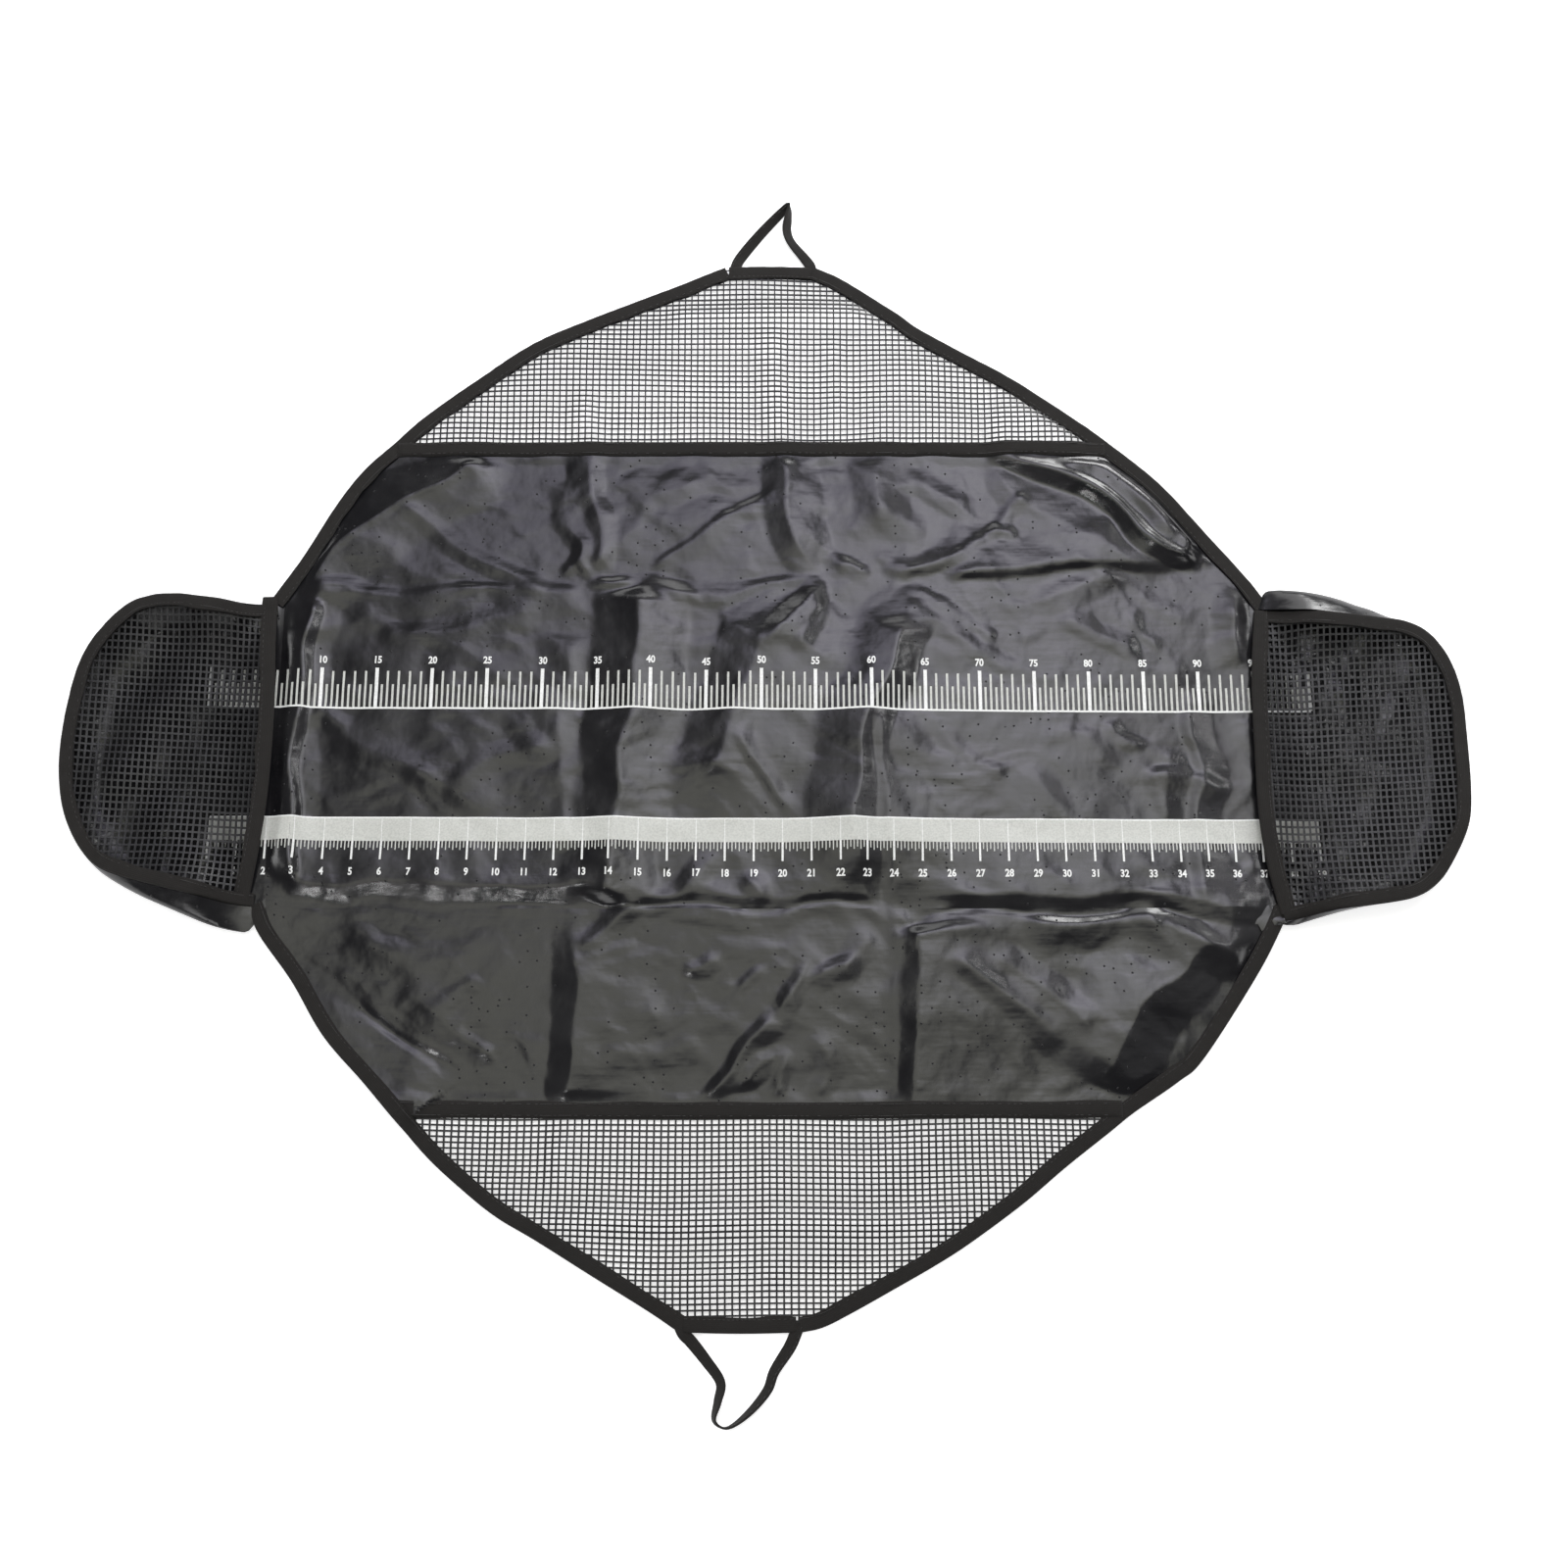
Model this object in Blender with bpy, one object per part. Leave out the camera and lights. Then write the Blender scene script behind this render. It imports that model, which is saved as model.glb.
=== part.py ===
"""Weigh sling for fishing, laid out open on a flat surface.

A glossy PVC sheet carries the fish. Its two long sides fold up, each side ends in a
trapezoid of open net, and a webbing loop at the tip of each net hangs on the scales.
A net-topped pocket at each end of the sheet holds the head and the tail. Folded
binding tape is sewn round every edge, so each sheet sits in the slot of its tape.

Metres, +Z up. X runs along the ruler, +Y is the rear wing, and z = 0 is the surface
that the sling lies on. Origin: middle of the sling on that surface.
"""

import math
from dataclasses import dataclass

import bmesh
import bpy
from mathutils import Vector
from mathutils.geometry import delaunay_2d_cdt

# Sheets, tape and fits
PVC_THICKNESS = 0.0006
NET_THICKNESS = 0.0010
TAPE_THICKNESS = 0.0008
TAPE_WIDTH = 0.014
FIT_GAP = 0.0003
MERGE_SHARE = 0.003

# Plan of the centre sheet
REAR_CREASE = 0.1555
FRONT_CREASE = 0.1330
POCKET_FOLD_X = 0.4440
CORNER_X = 0.4565
WING_FOOT_LIFT_RUN = 0.0560

# Pockets
POCKET_SIDE_CLEARANCE = 0.0010
MOUTH_BOW = 0.0120
POCKET_DEPTH = 0.1700
RIM_SQUARENESS = 3.2
RIM_HEIGHT = 0.0260
RIM_RISE_RUN = 0.0480
WALL_RUN = 0.0220
WALL_SHARES = (0.0, 0.3, 0.65, 1.0)
MOUTH_LIFT = 0.0160
NET_SAG = 0.0050
MOUTH_END_INSET = 0.0070

# Net
NET_PITCH = 0.0290
NET_STRAND = 0.0050
NET_SELVEDGE = 0.0030
SMALLEST_GAP_SHARE = 0.18

# Storage creases of the centre sheet: place across the sheet, height and half width
CREASE_X = (-0.1950, 0.0950)
CREASE_HEIGHT = 0.0020
CREASE_HALF_WIDTH = 0.0120
CREASE_RUN_SHARES = (0.12, 0.5, 0.88)

# Folds raised in the wings
FOLD_HEIGHT = 0.0070
FOLD_HALF_WIDTH = 0.0200
FOLD_RUN_SHARES = (0.0, 0.3, 0.7, 1.0)

# Loops
LOOP_WIDTH = 0.0120
LOOP_THICKNESS = 0.0020

# How finely the curves are cut
EDGE_STEPS = 6
RIM_STEPS = 34
MOUTH_STEPS = 10
LOOP_STEPS_PER_SPAN = 4
DENSE_STEPS = 720

# Worked out from the sizes above
HALF_GAP = FIT_GAP / 2
MERGE = FIT_GAP * MERGE_SHARE
TAPE_SLOT = NET_THICKNESS + 2 * FIT_GAP
RIM_SLOT = PVC_THICKNESS + NET_THICKNESS + 3 * FIT_GAP
TAPE_STACK = 2 * TAPE_THICKNESS + TAPE_SLOT
RIM_STACK = 2 * TAPE_THICKNESS + RIM_SLOT
SHEET_INSET = TAPE_THICKNESS + FIT_GAP
BAND = TAPE_WIDTH + 2 * FIT_GAP
NET_LEVEL = SHEET_INSET + PVC_THICKNESS + FIT_GAP
POCKET_MIDDLE_Y = (REAR_CREASE - FRONT_CREASE) / 2
POCKET_HALF_WIDTH = (REAR_CREASE + FRONT_CREASE) / 2 - POCKET_SIDE_CLEARANCE


@dataclass(frozen=True)
class Wing:
    """One long side of the sling, seen with its tip away from the viewer.

    Widths are measured from the middle of the sling, and a bulge is how far the
    taped edge bows out of a straight line between its two ends.
    """

    name: str
    turn: float
    crease: float
    seam: float
    tip: float
    seam_left: float
    seam_right: float
    tip_left: float
    tip_right: float
    side_bulge_left: float
    side_bulge_right: float
    net_bulge_left: float
    net_bulge_right: float
    loop_reach: float
    loop_middle: float
    loop_half_foot: float
    loop_path_shares: tuple
    loop_roll: tuple
    fold_shares: tuple


REAR = Wing(
    name="rear",
    turn=0.0,
    crease=REAR_CREASE,
    seam=0.3160,
    tip=0.5020,
    seam_left=0.3520,
    seam_right=0.3220,
    tip_left=0.0420,
    tip_right=0.0460,
    side_bulge_left=0.0090,
    side_bulge_right=0.0120,
    net_bulge_left=0.0220,
    net_bulge_right=0.0050,
    loop_reach=0.0725,
    loop_middle=0.0050,
    loop_half_foot=0.0350,
    # across as a share of half the foot spacing, out as a share of the reach
    loop_path_shares=((-1.0, 0.0), (-1.0, 0.12), (-0.38, 0.48), (0.20, 0.84),
                      (0.45, 0.965), (0.42, 0.74), (0.38, 0.56), (0.50, 0.38),
                      (1.0, 0.14), (1.0, 0.0)),
    loop_roll=(0.0, 8.0, 38.0, 58.0, 90.0, 128.0, 140.0, 150.0, 174.0, 180.0),
    # each fold: from and to, across as a share of the crease half width and out as
    # a share of the wing's depth, with its height as a share of FOLD_HEIGHT
    fold_shares=(((-0.84, 0.22), (-0.55, 0.88), 1.0), ((-0.66, 0.12), (-0.42, 0.70), 0.7),
                 ((0.66, 0.80), (0.86, 0.26), 1.0), ((0.02, 0.20), (0.03, 0.86), 0.6),
                 ((0.34, 0.30), (0.56, 0.74), 0.5)),
)

FRONT = Wing(
    name="front",
    turn=math.pi,
    crease=FRONT_CREASE,
    seam=0.3165,
    tip=0.4940,
    seam_left=0.3120,
    seam_right=0.3220,
    tip_left=0.0280,
    tip_right=0.0740,
    side_bulge_left=0.0170,
    side_bulge_right=0.0080,
    net_bulge_left=0.0140,
    net_bulge_right=0.0110,
    loop_reach=0.0828,
    loop_middle=0.0215,
    loop_half_foot=0.0440,
    loop_path_shares=((-1.0, 0.0), (-1.0, 0.10), (-0.66, 0.32), (-0.52, 0.56),
                      (-0.16, 0.78), (0.22, 0.94), (0.48, 0.88), (0.40, 0.66),
                      (0.34, 0.48), (0.62, 0.30), (1.0, 0.10), (1.0, 0.0)),
    loop_roll=(0.0, 8.0, 34.0, 44.0, 62.0, 84.0, 104.0, 128.0, 140.0, 150.0, 172.0, 180.0),
    fold_shares=(((-0.88, 0.14), (-0.60, 0.74), 0.8), ((-0.90, 0.42), (-0.70, 0.80), 0.6),
                 ((0.62, 0.88), (0.88, 0.26), 1.0), ((-0.28, 0.14), (-0.26, 0.88), 0.6),
                 ((0.42, 0.16), (0.42, 0.88), 0.7)),
)


@dataclass
class Station:
    """A point on the outer edge of a tape, and the way into the sheet from it."""

    point: Vector
    inward: Vector
    level: float = 0.0

    def at(self, inset):
        """Plan position at a distance inside the edge."""
        return self.point + self.inward * inset

    def place(self, inset, height):
        """Position at a distance inside the edge and a height over the tape's foot."""
        spot = self.at(inset)
        return (spot.x, spot.y, self.level + height)

    def slid(self, along):
        """The same station moved in plan, for a gap between two tapes."""
        return Station(self.point + along, self.inward, self.level)


# Helpers for plan curves
def smooth(share):
    """Ease from 0 to 1, flat at both ends."""
    share = min(max(share, 0.0), 1.0)
    return share * share * (3 - 2 * share)


def left_of(direction):
    """Unit vector a quarter turn to the left of a direction."""
    return Vector((-direction.y, direction.x)).normalized()


def bowed(start, end, bulge, steps):
    """Points from start to end that bow out to the right of the way they run."""
    outward = -left_of(end - start)
    shares = [i / steps for i in range(steps + 1)]
    return [start.lerp(end, s) + outward * bulge * 4 * s * (1 - s) for s in shares]


def evenly(points, steps):
    """Resample a polyline into equal steps along its length."""
    lengths = [0.0]
    for before, after in zip(points, points[1:]):
        lengths.append(lengths[-1] + (after - before).length)
    result = []
    index = 0
    for step in range(steps + 1):
        goal = lengths[-1] * step / steps
        while index < len(points) - 2 and lengths[index + 1] < goal:
            index += 1
        share = (goal - lengths[index]) / (lengths[index + 1] - lengths[index])
        result.append(points[index].lerp(points[index + 1], share))
    return result


def stations_of(points, first_cut=None, last_cut=None):
    """Pair each point of an edge, run with the sheet on its left, with its mitre.

    A cut is the direction in which a hinge line slices the tape's end.
    """
    sides = [left_of(after - before) for before, after in zip(points, points[1:])]
    result = []
    for i, point in enumerate(points):
        before = sides[max(i - 1, 0)]
        after = sides[min(i, len(sides) - 1)]
        inward = (before + after) / (1 + before.dot(after))
        if i == 0 and first_cut:
            inward = first_cut / first_cut.dot(after)
        if i == len(points) - 1 and last_cut:
            inward = last_cut / last_cut.dot(before)
        result.append(Station(point, inward))
    return result


def smooth_path(points, steps):
    """Catmull-Rom curve through the points."""
    padded = [points[0]] + list(points) + [points[-1]]
    result = []
    for a, b, c, d in zip(padded, padded[1:], padded[2:], padded[3:]):
        for step in range(steps):
            t = step / steps
            result.append(0.5 * (2 * b + (c - a) * t + (2 * a - 5 * b + 4 * c - d) * t * t
                                 + (3 * b - a - 3 * c + d) * t ** 3))
    result.append(points[-1].copy())
    return result


# Materials
def make_material(name, colour, roughness, coat):
    """Plain Principled material in the colour of the real piece."""
    material = bpy.data.materials.new(name)
    material.use_nodes = True
    shader = material.node_tree.nodes["Principled BSDF"]
    shader.inputs["Base Color"].default_value = (*colour, 1.0)
    shader.inputs["Roughness"].default_value = roughness
    shader.inputs["Coat Weight"].default_value = coat
    return material


# Objects
def make_empty(name, parent, location, turn=0.0):
    """Axis or frame that pieces hang from."""
    empty = bpy.data.objects.new(name, None)
    empty.location = location
    empty.rotation_euler = (0.0, 0.0, turn)
    empty.parent = parent
    bpy.context.collection.objects.link(empty)
    return empty


def make_object(name, bm, material, frame, offset):
    """Turn a mesh into a named piece whose origin is on its frame's axis."""
    bmesh.ops.recalc_face_normals(bm, faces=bm.faces)
    bmesh.ops.translate(bm, verts=bm.verts, vec=-Vector(offset))
    mesh = bpy.data.meshes.new(name)
    bm.to_mesh(mesh)
    bm.free()
    mesh.materials.append(material)
    piece = bpy.data.objects.new(name, mesh)
    piece.parent = frame
    bpy.context.collection.objects.link(piece)
    return piece


def loft_rings(rings, caps):
    """Closed body through rings of equal length, with the faces that cap its ends."""
    bm = bmesh.new()
    loops = [[bm.verts.new(place) for place in ring] for ring in rings]
    count = len(loops[0])
    for near, far in zip(loops, loops[1:]):
        for i in range(count):
            j = (i + 1) % count
            bm.faces.new((near[i], near[j], far[j], far[i]))
    for cap in caps:
        bm.faces.new([loops[0][i] for i in reversed(cap)])
        bm.faces.new([loops[-1][i] for i in cap])
    return bm


def tape_body(stations, slot):
    """Binding tape folded round an edge: a U section swept along its stations."""
    wall = TAPE_THICKNESS
    section = ((0.0, 0.0), (TAPE_WIDTH, 0.0), (TAPE_WIDTH, wall), (wall, wall),
               (wall, wall + slot), (TAPE_WIDTH, wall + slot),
               (TAPE_WIDTH, 2 * wall + slot), (0.0, 2 * wall + slot))
    caps = ((0, 1, 2, 3), (0, 3, 4, 7), (4, 5, 6, 7))
    return loft_rings([[s.place(*corner) for corner in section] for s in stations], caps)


def inside(polygon, x, y):
    """Whether a plan point lies in a polygon."""
    result = False
    for (ax, ay, *_), (bx, by, *_) in zip(polygon, polygon[1:] + polygon[:1]):
        if (ay > y) != (by > y) and x < (bx - ax) * (y - ay) / (by - ay) + ax:
            result = not result
    return result


class Layout:
    """Plan of a sheet: places (x, y, z), and the lines that its facets keep."""

    def __init__(self, outline):
        self.outline = list(outline)
        self.places = []
        self.edges = []
        self.gap_of = {}
        self.gaps = 0
        self.line(self.outline, closed=True)

    def line(self, places, closed=False):
        """Add a line of places that the facets may not cross."""
        first = len(self.places)
        self.places.extend(places)
        last = len(self.places) - 1
        self.edges.extend((i, i + 1) for i in range(first, last))
        if closed:
            self.edges.append((last, first))
        return range(first, last + 1)

    def gap(self, places):
        """Add an open gap in the sheet."""
        for index in self.line(places, closed=True):
            self.gap_of[index] = self.gaps
        self.gaps += 1

    def surface(self):
        """Open surface through every place, with the gaps left out."""
        flat = [Vector(place[:2]) for place in self.places]
        verts, _, faces, origin, _, _ = delaunay_2d_cdt(flat, self.edges, [], 0, MERGE)
        bm = bmesh.new()
        made = [bm.verts.new((v.x, v.y, self.places[source[0]][2]))
                for v, source in zip(verts, origin)]
        for face in faces:
            owners = {self.gap_of.get(origin[i][0]) for i in face}
            in_gap = len(owners) == 1 and None not in owners
            middle = sum((verts[i] for i in face), Vector((0.0, 0.0))) / len(face)
            if not in_gap and inside(self.outline, middle.x, middle.y):
                bm.faces.new([made[i] for i in face])
        loose = [v for v in bm.verts if not v.link_faces]
        bmesh.ops.delete(bm, geom=loose, context="VERTS")
        return bm


def sheet_object(name, bm, thickness, material, frame, offset):
    """Give a surface its thickness, upwards from the face that it lies on."""
    lower = list(bm.faces)
    for face in lower:
        face.normal_update()
        if face.normal.z > 0:
            face.normal_flip()
    made = bmesh.ops.extrude_face_region(bm, geom=lower, use_keep_orig=True)
    upper = [item for item in made["geom"] if isinstance(item, bmesh.types.BMVert)]
    bmesh.ops.translate(bm, verts=upper, vec=(0.0, 0.0, thickness))
    return make_object(name, bm, material, frame, offset)


def clipped(polygon, fence):
    """Part of a convex polygon that lies left of every side of a convex fence."""
    for start, end in zip(fence, fence[1:] + fence[:1]):
        side = left_of(end - start)
        kept = []
        for a, b in zip(polygon, polygon[1:] + polygon[:1]):
            da = (a - start).dot(side)
            db = (b - start).dot(side)
            if da >= 0:
                kept.append(a)
            if (da >= 0) != (db >= 0):
                kept.append(a.lerp(b, da / (da - db)))
        polygon = kept
        if len(polygon) < 3:
            return []
    return polygon


def area_of(polygon):
    """Plan area."""
    pairs = zip(polygon, polygon[1:] + polygon[:1])
    return sum(a.x * b.y - b.x * a.y for a, b in pairs) / 2


def tidy(polygon):
    """Drop corners closer together than a strand's fit."""
    kept = []
    for point in polygon:
        if not kept or (point - kept[-1]).length > NET_SELVEDGE:
            kept.append(point)
    if (kept[0] - kept[-1]).length <= NET_SELVEDGE:
        kept.pop()
    return kept


def net_gaps(fence, height):
    """Square gaps between the strands, cut by the fence, each with its heights."""
    xs = [p.x for p in fence]
    ys = [p.y for p in fence]
    gaps = []
    first_x = math.floor(min(xs) / NET_PITCH)
    last_x = math.ceil(max(xs) / NET_PITCH)
    rows = math.ceil((max(ys) - min(ys)) / NET_PITCH)
    for i in range(first_x, last_x):
        for j in range(rows):
            low = Vector((i * NET_PITCH + NET_STRAND / 2, min(ys) + j * NET_PITCH))
            size = NET_PITCH - NET_STRAND
            square = [low, low + Vector((size, 0)), low + Vector((size, size)),
                      low + Vector((0, size))]
            gap = clipped(square, fence)
            if len(gap) < 3 or area_of(gap) < SMALLEST_GAP_SHARE * size * size:
                continue
            gap = tidy(gap)
            if len(gap) >= 3:
                gaps.append([(p.x, p.y, height(p.x, p.y)) for p in gap])
    return gaps


# Centre sheet
def build_centre(materials):
    """Flat middle of the PVC sheet, between the folds of the wings and pockets."""
    half = POCKET_FOLD_X - HALF_GAP
    front = -FRONT_CREASE + HALF_GAP
    rear = REAR_CREASE - HALF_GAP
    outline = [(-half, front, 0.0), (half, front, 0.0), (half, rear, 0.0), (-half, rear, 0.0)]
    layout = Layout(outline)
    for x in CREASE_X:
        for side, height in ((-CREASE_HALF_WIDTH, 0.0), (0.0, CREASE_HEIGHT),
                             (CREASE_HALF_WIDTH, 0.0)):
            layout.line([(x + side, front + (rear - front) * share, height)
                         for share in CREASE_RUN_SHARES])
    sheet_object("centre_panel", layout.surface(), PVC_THICKNESS, materials["pvc"], None,
                 (0, 0, 0))


# Wings
def wing_edges(wing):
    """Stations of the two taped side edges and of the net's border, in wing axes."""
    cut = Vector((1.0, 0.0))
    foot = wing.crease + HALF_GAP
    top = wing.seam - HALF_GAP
    right = bowed(Vector((CORNER_X, foot)), Vector((wing.seam_right, top)),
                  wing.side_bulge_right, EDGE_STEPS)
    left = bowed(Vector((-wing.seam_left, top)), Vector((-CORNER_X, foot)),
                 wing.side_bulge_left, EDGE_STEPS)
    net_foot = wing.seam + HALF_GAP
    net_right = bowed(Vector((wing.seam_right, net_foot)), Vector((wing.tip_right, wing.tip)),
                      wing.net_bulge_right, EDGE_STEPS)
    net_left = bowed(Vector((-wing.tip_left, wing.tip)), Vector((-wing.seam_left, net_foot)),
                     wing.net_bulge_left, EDGE_STEPS)
    return (stations_of(right, -cut, -cut), stations_of(left, cut, cut),
            stations_of(net_right + net_left, -cut, cut))


def seam_stations(wing, right, left):
    """Stations of the tape on the seam, between the inner edges of the side tapes."""
    top = wing.seam - HALF_GAP
    right_x = right[-1].at(BAND).x
    left_x = left[0].at(BAND).x
    points = [Vector((right_x + (left_x - right_x) * i / EDGE_STEPS, top))
              for i in range(EDGE_STEPS + 1)]
    return stations_of(points)


def lay_folds(wing, layout, fence):
    """Add the crest and feet of each fold that stands up in the wing, inside a fence."""
    depth = wing.seam - wing.crease
    for start, end, height_share in wing.fold_shares:
        a = Vector((start[0] * CORNER_X, wing.crease + start[1] * depth))
        b = Vector((end[0] * CORNER_X, wing.crease + end[1] * depth))
        across = left_of(b - a) * FOLD_HALF_WIDTH
        crest = SHEET_INSET + height_share * FOLD_HEIGHT
        lines = (
            [(a.lerp(b, s), z) for s, z in zip(FOLD_RUN_SHARES, (SHEET_INSET, crest, crest,
                                                               SHEET_INSET))],
            [(a.lerp(b, s) + across, SHEET_INSET) for s in FOLD_RUN_SHARES[1:-1]],
            [(a.lerp(b, s) - across, SHEET_INSET) for s in FOLD_RUN_SHARES[1:-1]],
        )
        for line in lines:
            kept = [(p.x, p.y, z) for p, z in line if inside(fence, p.x, p.y)]
            layout.line(kept)


def build_side(wing, materials, frame, hinge, right, left):
    """PVC side panel in the slots of its tapes, with its folds."""
    seam = seam_stations(wing, right, left)
    top = wing.seam - HALF_GAP - SHEET_INSET
    outline = [s.place(SHEET_INSET, SHEET_INSET) for s in right[:-1]]
    outline += [(s.point.x, top, SHEET_INSET) for s in seam]
    outline += [s.place(SHEET_INSET, SHEET_INSET) for s in left[1:]]
    foot = wing.crease + HALF_GAP
    flat_half = CORNER_X - WING_FOOT_LIFT_RUN
    outline += [(-flat_half, foot, 0.0), (flat_half, foot, 0.0)]
    layout = Layout(outline)
    layout.line([s.place(BAND, SHEET_INSET) for s in right[:-1] + seam + left[1:]])
    fence = [s.place(BAND + NET_SELVEDGE, SHEET_INSET) for s in right + seam + left]
    lay_folds(wing, layout, fence)
    pieces = wing.name
    sheet_object(f"{pieces}_side_panel", layout.surface(), PVC_THICKNESS,
                 materials["pvc"], frame, hinge)
    sides = {"right": right, "left": left}
    for side, stations in sides.items():
        label = side_label(wing, side)
        make_object(f"{pieces}_side_tape_{label}", tape_body(stations, TAPE_SLOT),
                    materials["tape"], frame, hinge)
    make_object(f"{pieces}_seam_tape", tape_body(seam, TAPE_SLOT), materials["tape"],
                frame, hinge)


def side_label(wing, side):
    """Name of a side as seen from the front of the sling."""
    if wing.turn:
        return {"right": "left", "left": "right"}[side]
    return side


def build_net(wing, materials, frame, hinge, border):
    """Net flap with its border of tape and the tape across its tip."""
    layout = Layout([s.place(SHEET_INSET, SHEET_INSET) for s in border])
    layout.line([s.place(BAND, SHEET_INSET) for s in border])
    fence = [s.at(BAND + NET_SELVEDGE) for s in border]
    for end in (0, -1):
        fence[end].y += NET_SELVEDGE
    for gap in net_gaps(fence, lambda x, y: SHEET_INSET):
        layout.gap(gap)
    sheet_object(f"{wing.name}_net", layout.surface(), NET_THICKNESS, materials["net"],
                 frame, hinge)
    corner = EDGE_STEPS
    tip_way = (border[corner + 1].point - border[corner].point).normalized() * HALF_GAP
    right_way = (border[corner - 1].point - border[corner].point).normalized() * HALF_GAP
    left_way = (border[corner + 2].point - border[corner + 1].point).normalized() * HALF_GAP
    runs = {
        f"net_tape_{side_label(wing, 'right')}":
            border[:corner] + [border[corner].slid(right_way)],
        "end_tape": [border[corner].slid(tip_way), border[corner + 1].slid(-tip_way)],
        f"net_tape_{side_label(wing, 'left')}":
            [border[corner + 1].slid(left_way)] + border[corner + 2:],
    }
    for label, stations in runs.items():
        make_object(f"{wing.name}_{label}", tape_body(stations, TAPE_SLOT),
                    materials["tape"], frame, hinge)


def build_loop(wing, materials, frame, hinge):
    """Carrying loop: the edge tape runs on, turns over and comes back."""
    foot = wing.tip + FIT_GAP
    points = []
    for (across, out), roll in zip(wing.loop_path_shares, wing.loop_roll):
        points.append(Vector((wing.loop_middle + across * wing.loop_half_foot,
                              foot + out * wing.loop_reach, math.radians(roll))))
    path = smooth_path(points, LOOP_STEPS_PER_SPAN)
    rings = []
    for i, (x, y, roll) in enumerate(path):
        before = path[max(i - 1, 0)]
        after = path[min(i + 1, len(path) - 1)]
        way = Vector((after.x - before.x, after.y - before.y))
        if i <= LOOP_STEPS_PER_SPAN or i >= len(path) - 1 - LOOP_STEPS_PER_SPAN:
            way = Vector((0.0, way.y))
        side = left_of(way)
        flat = Vector((side.x * math.cos(roll), side.y * math.cos(roll), math.sin(roll)))
        thick = Vector((-side.x * math.sin(roll), -side.y * math.sin(roll), math.cos(roll)))
        flat *= LOOP_WIDTH / 2
        thick *= LOOP_THICKNESS / 2
        middle = Vector((x, y, abs(flat.z) + abs(thick.z)))
        rings.append([middle + flat + thick, middle - flat + thick,
                      middle - flat - thick, middle + flat - thick])
    make_object(f"{wing.name}_loop", loft_rings(rings, [(0, 1, 2, 3)]), materials["tape"],
                frame, hinge)


def build_wing(wing, materials):
    """Side panel, net and loop, each on its own fold."""
    frame = make_empty(f"{wing.name}_wing", None, (0, 0, 0), wing.turn)
    right, left, border = wing_edges(wing)
    side_hinge = (0.0, wing.crease, TAPE_STACK)
    net_hinge = (0.0, wing.seam, TAPE_STACK)
    loop_hinge = (0.0, wing.tip + HALF_GAP, TAPE_STACK)
    side_axis = make_empty(f"{wing.name}_side_axis", frame, side_hinge)
    net_axis = make_empty(f"{wing.name}_net_axis", side_axis,
                          Vector(net_hinge) - Vector(side_hinge))
    loop_axis = make_empty(f"{wing.name}_loop_axis", net_axis,
                           Vector(loop_hinge) - Vector(net_hinge))
    build_side(wing, materials, side_axis, side_hinge, right, left)
    build_net(wing, materials, net_axis, net_hinge, border)
    build_loop(wing, materials, loop_axis, loop_hinge)


# Pockets
def rim_level(x):
    """Height of the rim over the floor, at a distance out from the pocket's fold."""
    start = MOUTH_BOW + BAND
    return RIM_HEIGHT * smooth((x - start) / RIM_RISE_RUN)


def rim_stations():
    """Stations round the pocket's rim, from its front corner to its rear one."""
    power = 2 / RIM_SQUARENESS
    dense = []
    for i in range(DENSE_STEPS + 1):
        angle = math.pi * (i / DENSE_STEPS - 0.5)
        out = abs(math.cos(angle)) ** power
        along = math.copysign(abs(math.sin(angle)) ** power, angle)
        dense.append(Vector((MOUTH_BOW + POCKET_DEPTH * out, POCKET_HALF_WIDTH * along)))
    curve = evenly(dense, RIM_STEPS)
    curve[0] = Vector((MOUTH_BOW, -POCKET_HALF_WIDTH))
    curve[-1] = Vector((MOUTH_BOW, POCKET_HALF_WIDTH))
    first = Vector((HALF_GAP, -POCKET_HALF_WIDTH))
    last = Vector((HALF_GAP, POCKET_HALF_WIDTH))
    across = Vector((0.0, 1.0))
    stations = stations_of([first] + curve + [last], across, -across)
    for station in stations:
        station.level = rim_level(station.point.x)
    return stations


def net_level(x, y):
    """Height of the pocket's net: up from the mouth to the rim, with a little sag."""
    half = POCKET_HALF_WIDTH - BAND
    across = max(1 - (y / half) ** 2, 0.0)
    start = MOUTH_BOW + BAND
    rise = smooth((x - start) / RIM_RISE_RUN)
    run = min(max((x - start) / (POCKET_DEPTH - 2 * BAND), 0.0), 1.0)
    sag = NET_SAG * across * math.sin(math.pi * run)
    return NET_LEVEL + MOUTH_LIFT * across * (1 - rise) + RIM_HEIGHT * rise - sag


def mouth_stations():
    """Stations of the tape over the mouth, from the rear corner to the front one."""
    end = POCKET_HALF_WIDTH - TAPE_WIDTH - MOUTH_END_INSET
    points = []
    for i in range(MOUTH_STEPS + 1):
        share = 1 - 2 * i / MOUTH_STEPS
        points.append(Vector((HALF_GAP + MOUTH_BOW * share * share, end * share)))
    stations = stations_of(points)
    for station in stations:
        station.level = net_level(0.0, station.point.y) - SHEET_INSET
    return stations


def build_pocket_floor(name, materials, frame, hinge, rim):
    """PVC floor that turns up into the wall of the pocket."""
    layout = Layout([s.place(SHEET_INSET, SHEET_INSET) for s in rim])
    for share in WALL_SHARES:
        ring = []
        for s in rim:
            spot = s.at(BAND + WALL_RUN * share)
            ring.append((spot.x, spot.y, (s.level + SHEET_INSET) * (1 - smooth(share))))
        layout.line(ring)
    sheet_object(name, layout.surface(), PVC_THICKNESS, materials["pvc"], frame, hinge)


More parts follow.
